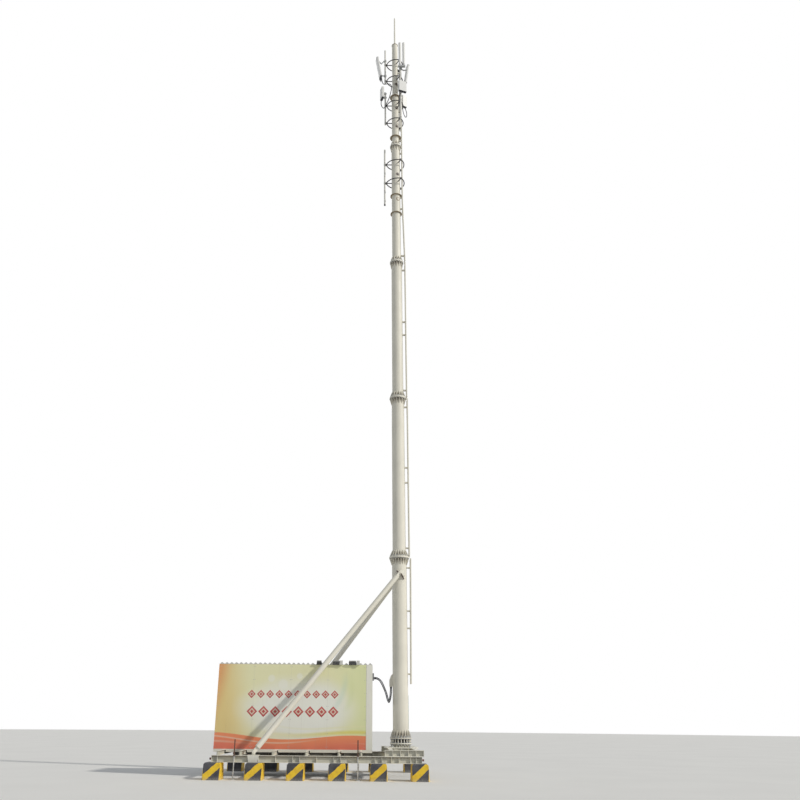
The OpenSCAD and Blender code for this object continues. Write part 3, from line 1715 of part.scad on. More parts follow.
ballast_blocks();
long_beams();
cross_joists();
end_girders();
cross_girders();
pedestal();
anchor_studs();
pole_section_1();
pole_section_2();
pole_section_3();
pole_section_4();
pole_section_5();
ring_plates();
port_covers();
pole_cap();
lightning_rod();
ladder();
earth_strip();
lower_hoops();
upper_hoops();
antenna_pipes();
antenna_brackets();
rod_antennas();
panel_antennas();
radio_boxes();
connectors();
jumper_cables();
front_brace();
rear_brace();
brace_brackets();
levelling_jacks();
cabin_skid();
cabin_floor();
long_walls();
end_walls();
cabin_roof();
roof_sheet();
printed_boards();
plain_strip();
floodlights();
cable_entries();
feeder_1();
feeder_2();
feeder_3();
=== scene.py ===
"""Finishes, fasteners, cables and small fittings of a flanged monopole with its cabin."""

from math import cos, pi, radians, sin

import bmesh
import bpy
from mathutils import Matrix, Vector


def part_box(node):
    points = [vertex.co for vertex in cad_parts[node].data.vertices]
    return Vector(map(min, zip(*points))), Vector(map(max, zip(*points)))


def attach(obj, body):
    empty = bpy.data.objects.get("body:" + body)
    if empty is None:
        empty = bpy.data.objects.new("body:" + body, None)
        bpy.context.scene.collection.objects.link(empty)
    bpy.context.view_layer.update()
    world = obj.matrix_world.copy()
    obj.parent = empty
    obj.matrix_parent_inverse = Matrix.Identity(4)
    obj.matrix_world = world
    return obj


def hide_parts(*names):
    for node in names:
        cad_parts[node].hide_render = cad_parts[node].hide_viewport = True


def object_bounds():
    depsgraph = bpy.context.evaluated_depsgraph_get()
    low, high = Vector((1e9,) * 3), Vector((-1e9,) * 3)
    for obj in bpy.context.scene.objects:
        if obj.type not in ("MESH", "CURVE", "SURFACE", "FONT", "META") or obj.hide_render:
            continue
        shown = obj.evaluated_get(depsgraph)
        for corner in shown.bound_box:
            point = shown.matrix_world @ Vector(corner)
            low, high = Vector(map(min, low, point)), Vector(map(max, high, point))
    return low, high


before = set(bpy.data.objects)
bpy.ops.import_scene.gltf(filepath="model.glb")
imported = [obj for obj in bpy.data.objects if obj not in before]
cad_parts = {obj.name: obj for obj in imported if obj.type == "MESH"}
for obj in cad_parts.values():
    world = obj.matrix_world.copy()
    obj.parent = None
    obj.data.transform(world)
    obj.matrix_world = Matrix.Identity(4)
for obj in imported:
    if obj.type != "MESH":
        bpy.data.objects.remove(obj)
cad_low, cad_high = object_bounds()

# Where the photograph was taken from, in metres and degrees
CAMERA_PLACE = Vector((1.116, -23.250, 1.306))
CAMERA_PITCH = 22.32
CAMERA_ROLL = 0.48
FOCAL_PIXELS = 786.8
OPTICAL_AXIS_PIXEL = 365
PICTURE_PIXELS = 800
SENSOR_MM = 36
CAMERA_REACH = 500

# Low sun from the right, a little in front, with a soft sky
SUN_DIRECTION = Vector((2.0, -1.0, 1.45))
SUN_COLOUR = (1.0, 0.965, 0.90)
SUN_STRENGTH = 2.2
SUN_SOFTNESS = 2.5
SKY_COLOUR = (0.86, 0.92, 1.0)
SKY_STRENGTH = 0.36
FLOOR_COLOUR = (0.82, 0.81, 0.78)
FLOOR_REACH = 120

# Sizes of the pole and its fittings that their boxes don't give, in metres
TUBE_DIAMETERS = (0.426, 0.390, 0.355, 0.303, 0.262)
FLANGE_THICK = 0.025
# Gussets and radii of the nuts at the base and at each joint, from the foot up
GUSSET_COUNTS = (20, 20, 16, 14, 12)
NUT_RADII = (0.022, 0.0205, 0.0205, 0.0185, 0.0185)
RING_FOOT = 0.790
STUD_RING_RADIUS = 0.262
# Dark sleeve that stands for the shade inside the open stud ring
SHADE_SLEEVE_RADIUS = 0.205
SHADE_SLEEVE_THICK = 0.012
HOOP_NODE = 0.065
BOLT_PAST_HOOP = 0.02
UPPER_HOOPS = (22.020, 22.850, 24.048, 24.856)
LOWER_HOOPS = (19.290, 20.110)
# Radius, heights and corners in degrees of the hoops that carry pipes
HOOP_SETS = ((0.320, UPPER_HOOPS, (60, 180, 300)), (0.345, LOWER_HOOPS, (180,)))
PIPE_REACH = 0.0562
# Height of each cable port and the diameter of the pole there
PORTS = ((19.600, 0.303), (21.786, 0.262), (22.647, 0.262), (23.831, 0.216))
PORT_AZIMUTH = radians(-65)
PORT_RIM_OUT = 0.004
PORT_SCREW_RING = 0.033
COVER_HEIGHT = 18.525
COVER_THICK = 0.007
COVER_SCREW_OFF = 0.031
COVER_SCREW_UP = 0.030

# Sizes of the brace heads, where each brace meets the pole
BRACE_HEAD_OFF = 0.270
BRACE_HEAD_DROP = 0.480
BRACE_FOOT = Vector((-1.570, -1.900, 0.620))
WING_LEAN = 0.12
WING_THICK = 0.012
# Outlines of the wings behind a brace's head: across the brace, then towards the pole
WING_OUTLINES = (
    (
        (0.034, -0.070), (0.090, -0.065), (0.215, 0.070), (0.205, 0.118), (0.130, 0.085),
        (0.034, 0.066),
    ),
    ((-0.034, 0.070), (-0.115, 0.100), (-0.130, 0.045), (-0.070, -0.030), (-0.034, -0.030)),
)

# Sizes of the frame and the cabin
ROW_PLACE = 1.90
BLOCK_COUNT = 6
BLOCK_WIDTH = 0.44
BAND_HALF = 0.109
PLATE_THICK = 0.022
PLATE_BOLT_OFF = 0.235
WAVES = 32
BOARD_SEAMS = (0.960, 1.945, 2.930)
LAMP_RIGHT_EDGES = (0.9475, 0.492)
FEEDER_DIAMETER = 0.026
JUMPER_DIAMETERS = (0.030, 0.032, 0.026)


def in_metres(routes):
    """Routes from millimetres to metres."""
    return tuple(tuple(tuple(v / 1000 for v in point) for point in route) for route in routes)


# Routes of the three feeder cables, from the inlet box to the hood on the pole
FEEDER_ROUTES = in_metres((
    (
        (1445, -300, 2465), (1520, -300, 2465), (1585, -300, 2425), (1640, -300, 2370),
        (1675, -300, 2305), (1705, -300, 2240), (1730, -300, 2180), (1760, -300, 2115),
        (1785, -300, 2045), (1800, -295, 1980), (1820, -265, 1920), (1835, -215, 1875),
        (1855, -160, 1860), (1875, -100, 1870), (1885, -50, 1910), (1900, -25, 1965),
        (1910, -20, 2030), (1920, -15, 2100), (1920, -20, 2170), (1920, -20, 2240),
    ),
    (
        (1445, -320, 2435), (1510, -320, 2435), (1565, -320, 2400), (1610, -320, 2350),
        (1645, -320, 2290), (1675, -320, 2230), (1705, -320, 2165), (1730, -320, 2105),
        (1755, -320, 2035), (1770, -310, 1965), (1790, -280, 1900), (1815, -225, 1850),
        (1835, -155, 1825), (1860, -80, 1840), (1880, -20, 1890), (1895, 10, 1955),
        (1910, 20, 2030), (1920, 20, 2100), (1920, 15, 2170), (1920, 15, 2240),
    ),
    (
        (1445, -280, 2435), (1510, -280, 2435), (1570, -280, 2400), (1610, -280, 2350),
        (1645, -280, 2290), (1675, -280, 2230), (1705, -280, 2165), (1730, -285, 2105),
        (1755, -285, 2040), (1770, -275, 1975), (1785, -250, 1920), (1800, -205, 1880),
        (1820, -145, 1860), (1840, -85, 1870), (1855, -35, 1910), (1870, -10, 1970),
        (1880, 0, 2035), (1885, 0, 2105), (1890, 0, 2170), (1890, 0, 2240),
    ),
))

# Routes of the jumper cables, clipped along the hoops and pipes
JUMPER_ROUTES = in_metres((
    (
        (1660, -51, 24055), (1669, -51, 23996), (1707, -35, 23869), (1787, -54, 23860),
        (1874, -74, 23866), (1947, -125, 23804), (2002, -170, 23731), (2024, -189, 23619),
        (2015, -179, 23457), (1986, -170, 23330), (1951, -154, 23164), (1912, -144, 23043),
        (1883, -141, 22960), (1855, -138, 22900), (1835, -131, 22850), (1819, -118, 22805),
        (1803, -99, 22760), (1778, -83, 22720), (1746, -70, 22690), (1707, -61, 22685),
        (1675, -48, 22740), (1650, -38, 22810), (1634, -29, 22880), (1627, -19, 22960),
        (1636, -15, 23038), (1636, -15, 23098),
    ),
    (
        (2229, -137, 22647), (2247, -177, 22647), (2268, -220, 22620), (2291, -329, 22642),
        (2296, -354, 22712), (2301, -364, 22792), (2301, -374, 22872), (2306, -404, 22952),
        (2321, -449, 23002), (2332, -482, 23037), (2332, -482, 23087),
    ),
    (
        (2461, 294, 23050), (2461, 294, 22990), (2468, 293, 22890), (2488, 288, 22770),
        (2518, 288, 22660), (2553, 293, 22590), (2593, 303, 22590), (2613, 313, 22660),
        (2618, 320, 22770), (2603, 324, 22880), (2570, 324, 22990), (2570, 324, 23050),
    ),
))

UP, DOWN = Vector((0, 0, 1)), Vector((0, 0, -1))
FRONT, BACK = Vector((0, -1, 0)), Vector((0, 1, 0))
RIGHT, LEFT = Vector((1, 0, 0)), Vector((-1, 0, 0))

cap_low, cap_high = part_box("pole_cap")
pole_axis = Vector(((cap_low + cap_high).x / 2, 0, 0))
section_boxes = [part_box(f"pole_section_{i}") for i in range(1, 6)]
section_feet = [low.z for low, _ in section_boxes]
flange_radii = [(high.x - low.x) / 2 for low, high in section_boxes]


def heading(turn):
    """Level direction at an angle about the pole."""
    return Vector((cos(turn), sin(turn), 0))


def about_pole(turn, reach, height):
    """Place at an angle about the pole's axis."""
    return pole_axis + Vector((reach * cos(turn), reach * sin(turn), height))


# Nodes, camera and light

def feed(tree, socket, value):
    """Put a link, a colour or a number into an input."""
    if isinstance(value, Number):
        value = value.socket
    if isinstance(value, bpy.types.NodeSocket):
        tree.links.new(value, socket)
    elif isinstance(value, tuple) and len(value) == 3 and socket.type == "RGBA":
        socket.default_value = (*value, 1)
    else:
        socket.default_value = value


def add_node(tree, kind, inputs=None, **settings):
    """Add a node, set it up and feed its inputs."""
    made = tree.nodes.new(kind)
    for key, value in settings.items():
        setattr(made, key, value)
    for key, value in (inputs or {}).items():
        feed(tree, made.inputs[key], value)
    return made


def new_object(name, data):
    """Make an object and link it."""
    made = bpy.data.objects.new(name, data)
    bpy.context.scene.collection.objects.link(made)
    return made


def set_camera():
    """The photograph's camera, with its axis left of the picture's middle."""
    data = bpy.data.cameras.new("camera")
    data.sensor_width = SENSOR_MM
    data.lens = FOCAL_PIXELS / PICTURE_PIXELS * SENSOR_MM
    data.shift_x = (PICTURE_PIXELS / 2 - OPTICAL_AXIS_PIXEL) / PICTURE_PIXELS
    data.clip_end = CAMERA_REACH
    camera = new_object("camera", data)
    lift = Matrix.Rotation(radians(90 + CAMERA_PITCH), 4, "X")
    roll = Matrix.Rotation(radians(CAMERA_ROLL), 4, "Z")
    camera.matrix_world = Matrix.Translation(CAMERA_PLACE) @ lift @ roll
    bpy.context.scene.camera = camera


def set_light():
    """A soft sun and a pale sky that the camera sees as white."""
    bpy.context.scene.view_settings.view_transform = "Standard"
    sun = bpy.data.lights.new("sun", "SUN")
    sun.energy = SUN_STRENGTH
    sun.angle = radians(SUN_SOFTNESS)
    sun.color = SUN_COLOUR
    new_object("sun", sun).rotation_euler = SUN_DIRECTION.to_track_quat("Z", "Y").to_euler()
    world = bpy.data.worlds.new("sky")
    world.use_nodes = True
    bpy.context.scene.world = world
    tree = world.node_tree
    tree.nodes.clear()
    rays = add_node(tree, "ShaderNodeLightPath").outputs
    seen = rays["Is Camera Ray"]
    for ray in ("Is Glossy Ray", "Is Transmission Ray"):
        either = add_node(tree, "ShaderNodeMath", {0: seen, 1: rays[ray]}, operation="MAXIMUM")
        seen = either.outputs[0]
    sky = add_node(tree, "ShaderNodeBackground", {"Color": SKY_COLOUR, "Strength": SKY_STRENGTH})
    white = add_node(tree, "ShaderNodeBackground", {"Color": (1, 1, 1)})
    mix = add_node(tree, "ShaderNodeMixShader", {0: seen, 1: sky.outputs[0], 2: white.outputs[0]})
    add_node(tree, "ShaderNodeOutputWorld", {"Surface": mix.outputs[0]})


# Shader building

def operator(operation):
    """Method that adds a Math node."""
    def method(number, *others):
        return number.paint.math(operation, number, *others)
    return method


class Number:
    """A value that changes over a surface; arithmetic on it adds Math nodes."""

    def __init__(self, paint, socket):
        self.paint = paint
        self.socket = socket

    __add__ = __radd__ = operator("ADD")
    __mul__ = __rmul__ = operator("MULTIPLY")
    __sub__ = operator("SUBTRACT")
    __truediv__ = operator("DIVIDE")
    __abs__ = operator("ABSOLUTE")
    sine = operator("SINE")
    root = operator("SQRT")
    below = operator("LESS_THAN")
    above = operator("GREATER_THAN")
    most = operator("MAXIMUM")
    # The part after the decimal point
    wrap = operator("FRACT")

    def __rsub__(self, other):
        return self * -1 + other

    def squared(self):
        return self * self

    def teeth(self, step):
        """Saw teeth: a half at each whole step, nothing midway between two."""
        return abs((self / step).wrap() - 0.5)

    def rise(self, start, end, low=0.0, high=1.0):
        """Smooth step from low to high as the value goes from start to end."""
        ends = {"From Min": start, "From Max": end, "To Min": low, "To Max": high}
        return self.paint.node(
            "MapRange", {"Value": self, **ends}, interpolation_type="SMOOTHSTEP"
        )

    def spread(self, low=0.0, high=1.0):
        """Smooth step from low to high over the middle of a noise."""
        return self.rise(0.3, 0.7, low, high)

    def between(self, first, second, start=0.3, end=0.7):
        """Colour that goes from first to second as the value goes from start to end."""
        return self.paint.mix(first, (self.rise(start, end), second))


class Paint:
    """One material on the surface shader, with object coordinates in metres."""

    def __init__(self, name):
        self.material = bpy.data.materials.new(name)
        self.material.use_nodes = True
        self.tree = self.material.node_tree
        self.tree.nodes.clear()
        self.shader = add_node(self.tree, "ShaderNodeBsdfPrincipled")
        add_node(self.tree, "ShaderNodeOutputMaterial", {"Surface": self.shader.outputs[0]})
        self.place = add_node(self.tree, "ShaderNodeTexCoord").outputs["Object"]
        self.x, self.y, self.z = self.parts(self.place)
        facing = add_node(self.tree, "ShaderNodeNewGeometry").outputs["Normal"]
        self.facing_x, self.facing_y, self.facing_z = self.parts(facing)

    def parts(self, vector):
        """The three numbers of a vector."""
        split = add_node(self.tree, "ShaderNodeSeparateXYZ", {0: vector})
        return [Number(self, socket) for socket in split.outputs]

    def node(self, kind, inputs, output=0, **settings):
        """Add a node and return one of its outputs as a number."""
        made = add_node(self.tree, "ShaderNode" + kind, inputs, **settings)
        return Number(self, made.outputs[output])

    def math(self, operation, *values):
        return self.node("Math", dict(enumerate(values)), operation=operation)

    def stretched(self, scale):
        """Object coordinates scaled on each axis, for streaks and grain."""
        return self.node("Mapping", {"Vector": self.place, "Scale": scale}).socket

    def noise(self, scale, detail=3.0, rough=0.5, place=None):
        return self.node("TexNoise", {
            "Vector": place or self.place, "Scale": scale, "Detail": detail, "Roughness": rough,
        })

    def mottle(self, scale):
        """Coarse blotches."""
        return self.noise(scale, 4.0, 0.6)

    def streaks(self, across, upright, scale=1.0, detail=5.0):
        """Noise that is drawn out down the faces."""
        return self.noise(scale, detail, 0.6, self.stretched((across, across, upright)))

    def cells(self, scale):
        return self.node("TexVoronoi", {"Vector": self.place, "Scale": scale})

    def underside(self, start, end):
        """Mask of the faces that look down."""
        return (0 - self.facing_z).rise(start, end)

    def mix(self, colour, *layers):
        """Colour with others laid over it, each a mask and a colour."""
        for mask, layer in layers:
            inputs = {0: mask, 6: colour, 7: layer}
            colour = self.node("Mix", inputs, 2, data_type="RGBA").socket
        return colour

    def finish(self, colour, rough, metal=0.0, bump=None, depth=0.0006, coat=0.0):
        """Feed the surface shader; the bump is a height, or a noise's settings."""
        if isinstance(bump, tuple):
            bump = self.noise(*bump)
        given = {
            "Base Color": colour, "Roughness": rough, "Metallic": metal, "Coat Weight": coat,
        }
        if bump is not None:
            given["Normal"] = self.node("Bump", {"Height": bump, "Distance": depth})
        for key, value in given.items():
            feed(self.tree, self.shader.inputs[key], value)
        return self.material


def coated(finish):
    """Material of a finish, named after it."""
    return finish(Paint(finish.__name__))


def distance(first, second):
    """Length of the diagonal over two distances."""
    return (first.squared() + second.squared()).root()


# Finishes of the pole and its fittings

CREAM = (0.735, 0.705, 0.61)
FRAME_CREAM = (0.76, 0.74, 0.65)
# Brown of painted shade in gusset pockets, under flanges and on faces that look down
SHADE_BROWN = (0.155, 0.115, 0.075)
RUST = (0.27, 0.12, 0.055)
# Grey of dirt and dust, also laid on the fittings' undersides as painted shade
GRIME_AND_SHADE = (0.33, 0.31, 0.27)
# How dark the painted shade in the pockets below each flange is, from the foot up
POCKET_DARKNESS = (1.05, 1.05, 1.05, 1.05, 0.40)


def weathered(paint, base, amount):
    """Sun-bleached paint: slow patches, thin runs down the face and small specks."""
    bleached = tuple(min(1.0, c * 1.06 + 0.012) for c in base)
    return paint.mix(
        paint.noise(1.1, 4.0).between(base, bleached, 0.35, 0.65),
        (paint.streaks(26, 0.7).rise(0.56, 0.80, 0.0, amount), GRIME_AND_SHADE),
        (paint.noise(90, 2.0).rise(0.68, 0.76, 0.0, amount * 0.8), RUST),
    )


def port_plane(paint):
    """Distance across the line of the ports, and how far in front of the pole's axis."""
    beside = paint.x - pole_axis.x
    ahead, aside = cos(PORT_AZIMUTH), sin(PORT_AZIMUTH)
    return paint.y * ahead - beside * aside, beside * ahead + paint.y * aside


def cover_reach(paint, across):
    """Distance from the spine of the oval cover plate."""
    return distance((abs(paint.z - COVER_HEIGHT) - 0.02).most(0.0), across)


def port_spot(across, level):
    """Dark rim of a cable port as painted shade, with a short dark run below."""
    reach = distance(across, level)
    rim = reach.rise(0.066, 0.056).most(reach.rise(0.095, 0.060) * 0.50)
    run = abs(across).rise(0.034, 0.008) * level.rise(-0.17, -0.03) * level.below(0.0) * 0.60
    return rim.most(run)


def port_shade_and_cover_ring(paint, colour):
    """Dark spots at the cable ports as painted shade under their hoods, and a brown ring round the
    cover plate.
    """
    across, ahead = port_plane(paint)
    mottled = paint.mottle(60)
    front = ahead.above(0.0)
    ring = cover_reach(paint, across).rise(0.064, 0.060) * mottled.rise(0.30, 0.60, 0.62, 0.88)
    spots = sum(port_spot(across, paint.z - height) for height, _ in PORTS)
    return paint.mix(
        colour, (ring * front, (0.25, 0.17, 0.10)),
        (spots * front * mottled.rise(0.25, 0.55, 0.72, 0.95), (0.085, 0.060, 0.045)),
    )


def gusset_pockets(paint, reach, i):
    """Shade between the gussets below and above one flange."""
    joint = section_feet[i]
    below = (
        paint.z.rise(joint - 0.22, joint - 0.05, 0.0, POCKET_DARKNESS[i]) * paint.z.below(joint)
        * reach.below(TUBE_DIAMETERS[max(i - 1, 0)] / 2 + 0.004)
    )
    above = (
        paint.z.rise(joint + 0.20, joint + 0.10) * paint.z.above(joint)
        * reach.below(TUBE_DIAMETERS[i] / 2 + 0.004)
    )
    return below + above * 0.92


def pole_cream_paint(paint):
    """Cream paint of the pole, with brown runs below the joints, and painted shade between the
    gussets and on faces that look down.
    """
    reach = distance(paint.x - pole_axis.x, paint.y)
    stain = sum(
        (paint.z - (joint - 0.75)).rise(0.0, 0.72) * paint.z.below(joint + 0.02)
        for joint in section_feet[1:]
    )
    pockets = sum(gusset_pockets(paint, reach, i) for i in range(len(section_feet)))
    runs = paint.streaks(40, 0.9, detail=4.0).rise(0.50, 0.72)
    foot = section_feet[0]
    colour = paint.mix(
        weathered(paint, CREAM, 0.22), (stain * runs * 0.30, (0.40, 0.30, 0.20)),
        # Darker towards the foot, then painted shade in the gusset pockets and on faces that look
        # down
        (paint.z.rise(foot + 0.5, foot, 0.0, 0.22), GRIME_AND_SHADE), (pockets * 0.72, SHADE_BROWN),
        (paint.underside(0.7, 0.95) * 0.85, SHADE_BROWN),
    )
    rough = paint.noise(3.0).spread(0.48, 0.60)
    return paint.finish(port_shade_and_cover_ring(paint, colour), rough, bump=(260, 2.0))


def fitting_cream_paint(paint):
    """Cream of the ladder, braces, studs and lightning rod, with painted shade darkening faces
    that look down.
    """
    colour = paint.mix(weathered(paint, CREAM, 0.25), (paint.underside(0.55, 0.95) * 0.6, GRIME_AND_SHADE))
    return paint.finish(colour, paint.noise(5.0).spread(0.38, 0.54), bump=(220, 2.0))


def cream_and_brown(paint, mottled, mask, first, second):
    """Worn cream, with a mottled brown where the mask is."""
    colour = paint.mix(weathered(paint, CREAM, 0.3), (mask, mottled.between(first, second)))
    return paint.finish(colour, mottled.spread(0.45, 0.62), bump=(200, 2.0))


def brace_wing_paint(paint):
    """Wings behind the brace heads: cream on top and painted shade in dark brown below."""
    below = paint.underside(0.45, 0.70)
    shade_browns = (0.085, 0.055, 0.055), (0.150, 0.100, 0.080)
    return cream_and_brown(paint, paint.mottle(40), below, *shade_browns)


def ring_plate_paint(paint):
    """Ring plates and pole cap: worn cream tops, with undersides and rims painted mottled brown as
    painted shade.
    """
    mottled = paint.mottle(24)
    rim = abs(paint.facing_z).below(0.3) * mottled.rise(0.35, 0.6, 0.35, 0.9)
    mask = paint.underside(0.3, 0.8).most(rim)
    return cream_and_brown(paint, mottled, mask, (0.19, 0.145, 0.095), (0.33, 0.26, 0.17))


def port_cover_paint(paint):
    """Dark brown port plugs, and a pale cover plate with a brown edge."""
    mottled = paint.mottle(40)
    plug = mottled.between((0.035, 0.024, 0.022), (0.085, 0.055, 0.042))
    edge = cover_reach(paint, port_plane(paint)[0]).rise(0.028, 0.036)
    edge = edge.most(abs(paint.facing_z).rise(0.25, 0.45))
    cover = paint.mix(weathered(paint, CREAM, 0.4), (edge * 0.85, (0.26, 0.17, 0.10)))
    colour = paint.mix(plug, (paint.z.below(COVER_HEIGHT + 0.18), cover))
    return paint.finish(colour, mottled.spread(0.45, 0.65), bump=mottled, depth=0.0008)


def dark_paint(paint):
    """Near-black paint of the hoops, greyed by dust; on the stud sleeve it stands for shade."""
    dust = paint.noise(12, 4.0)
    charcoal = dust.between((0.036, 0.036, 0.043), (0.085, 0.079, 0.073), 0.3, 0.75)
    rust = paint.noise(45, 4.0, 0.65).rise(0.62, 0.70, 0.0, 0.6)
    return paint.finish(
        paint.mix(charcoal, (rust, RUST)), dust.spread(0.45, 0.65), bump=(150, 3.0)
    )


def galvanised_steel(paint):
    """Zinc-coated steel with a faint spangle."""
    spangle = paint.cells(140)
    colour = paint.mix(
        spangle.between((0.36, 0.37, 0.37), (0.52, 0.53, 0.53), 0.1),
        (paint.noise(18, 4.0).rise(0.60, 0.75, 0.0, 0.5), (0.34, 0.27, 0.20)),
    )
    rough = spangle.rise(0.0, 0.7, 0.38, 0.58)
    return paint.finish(colour, rough, 0.55, bump=(200, 2.0), depth=0.0004)


def rod_antenna_white(paint):
    """White rod antennas: grey metal foot, seams and a slightly yellowed tube."""
    foot_length, seam_spacing = 0.062, 0.37
    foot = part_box("rod_antennas")[0].z
    metal = paint.z.below(foot + foot_length)
    seams = (paint.z - foot).teeth(seam_spacing).above(0.485)
    dirt = paint.streaks(8, 1.0, 5, 4.0).rise(0.45, 0.8, 0.0, 0.3)
    colour = paint.mix(
        (0.80, 0.795, 0.76), (dirt, (0.52, 0.50, 0.45)), (seams * 0.25, (0.45, 0.44, 0.42)),
        (metal, (0.30, 0.30, 0.31)),
    )
    return paint.finish(colour, metal * 0.1 + 0.34, metal * 0.6, bump=seams)


def radio_white(paint):
    """Radio housings: white lids with pressed lines, dark connector plate underneath."""
    fin_spacing = 0.024
    dirt = paint.streaks(9, 1.2, 7, 4.0)
    colour = paint.mix(
        (0.78, 0.775, 0.75), (dirt.rise(0.5, 0.8, 0.0, 0.3), (0.50, 0.48, 0.44)),
        (paint.underside(0.6, 0.9), (0.07, 0.07, 0.075)),
    )
    fins = paint.z.teeth(fin_spacing).rise(0.30, 0.42) * 0.4
    return paint.finish(colour, dirt.spread(0.34, 0.48), bump=fins, depth=0.0012)


def panel_antenna_white(paint):
    """Panel antennas: white faces and grey end caps."""
    dirt = paint.streaks(7, 0.9, 6)
    colour = paint.mix(
        (0.79, 0.79, 0.77), (dirt.rise(0.5, 0.8, 0.0, 0.32), (0.50, 0.49, 0.46)),
        (abs(paint.facing_z).rise(0.75, 0.95), (0.33, 0.33, 0.34)),
    )
    return paint.finish(colour, dirt.spread(0.30, 0.44), bump=(300, 2.0), depth=0.0003, coat=0.1)


def antenna_pipe_paint(paint):
    """Antenna pipes: cream, with tape bands and a dark plug on the low left one."""
    past_hoops, band_spacing, plug_length = 0.72, 0.62, 0.055
    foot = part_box("antenna_pipes")[0].z
    on_low_pipe = paint.z.below(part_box("lower_hoops")[1].z + past_hoops)
    bands = (paint.z - foot).teeth(band_spacing).above(0.46)
    colour = paint.mix(
        weathered(paint, (0.66, 0.645, 0.59), 0.35),
        (bands * on_low_pipe * 0.55, (0.36, 0.33, 0.30)),
        (paint.z.below(foot + plug_length) * on_low_pipe, (0.07, 0.065, 0.07)),
    )
    return paint.finish(colour, 0.46, bump=(200, 2.0), depth=0.0005)


def cable_sheath(paint):
    """Black cable sheath with a slight sheen."""
    scuffs = paint.noise(70)
    colour = scuffs.between((0.012, 0.013, 0.020), (0.028, 0.030, 0.040), 0.35)
    return paint.finish(colour, scuffs.spread(0.50, 0.66), bump=scuffs, depth=0.0004)


def earth_strip_paint(paint):
    """Earth strip with worn green and yellow paint."""
    stripe_spacing = 0.10
    stripes = (paint.z / stripe_spacing).wrap().above(0.5)
    wear = paint.noise(30, 5.0, 0.65)
    colour = paint.mix(
        (0.20, 0.33, 0.22), (stripes * 0.35, (0.55, 0.52, 0.18)),
        (wear.rise(0.58, 0.70), (0.30, 0.24, 0.18)),
    )
    return paint.finish(colour, 0.55, bump=wear)


# Finishes of the frame and the cabin

def web_shade(paint):
    """Mask of painted shade on webs and stiffeners, which stay darker than the edges of their
    flanges.
    """
    web_foot, joist_web_top, girders_from, girder_extra = 0.554, 0.637, 1.3, 0.042
    off_middle = abs(paint.y)
    flange_edge = ROW_PLACE - 0.065
    along = abs(off_middle - ROW_PLACE).rise(0.050, 0.022) * off_middle.above(flange_edge)
    web_top = paint.x.above(girders_from) * girder_extra + joist_web_top
    across = (
        abs(paint.facing_x).above(0.5) * paint.z.above(web_foot) * paint.z.below(web_top)
        * off_middle.below(flange_edge)
    )
    return along.most(across) * abs(paint.facing_z).below(0.5)


def shelter_shade(paint):
    """Faces under the cabin and the inner sides of the rows, painted near black as shade."""
    cabin_end, joist_top = 1.375, 0.664
    under = abs(paint.y).rise(0.945, 0.925) * paint.x.below(cabin_end) * paint.z.below(joist_top)
    inner = (paint.facing_y * paint.y).below(-0.5) * paint.x.rise(1.7, 1.2)
    return under.most(inner)


def frame_coat(paint):
    """Cream chipped to rust and dusty where it lies flat, with painted shade: brown where it looks
    down, darker on the webs, near black under the cabin.
    """
    dust = paint.facing_z.rise(0.6, 0.95) * paint.mottle(5).rise(0.35, 0.7)
    return paint.mix(
        weathered(paint, FRAME_CREAM, 0.25),
        (paint.noise(34, 5.0, 0.7).rise(0.70, 0.75, 0.0, 0.75), RUST),
        # Painted shade: brown on faces that look down, darker webs, near black under the cabin
        (dust * 0.30, GRIME_AND_SHADE), (paint.underside(0.6, 0.95) * 0.7, SHADE_BROWN),
        (web_shade(paint) * 0.40, (0.27, 0.265, 0.19)),
        (shelter_shade(paint) * 0.85, (0.060, 0.052, 0.045)),
    )


def frame_finish(paint, colour):
    rough = paint.mottle(5).spread(0.50, 0.72)
    return paint.finish(colour, rough, bump=(180, 3.0), depth=0.0008)


def frame_cream_paint(paint):
    """The frame's dull cream."""
    return frame_finish(paint, frame_coat(paint))


def long_beam_paint(paint):
    """The frame's cream on the long beams, with a painted shadow under the top flange; the lifting
    pins are rusty red.
    """
    shade_depth, shade_top, flange, pin_room = 0.070, 0.018, 0.013, 0.0475
    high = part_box("long_beams")[1]
    flange_shadow = (
        paint.z.rise(high.z - shade_depth, high.z - shade_top)
        * abs(paint.facing_y).rise(0.6, 0.9) * paint.z.below(high.z - flange)
    )
    pin_rust = paint.noise(60, 4.0).between((0.22, 0.06, 0.045), (0.12, 0.05, 0.04), 0.4, 0.6)
    pins = abs(paint.x).above(high.x - pin_room)
    colour = paint.mix(frame_coat(paint), (flange_shadow * 0.55, SHADE_BROWN), (pins, pin_rust))
    return frame_finish(paint, colour)


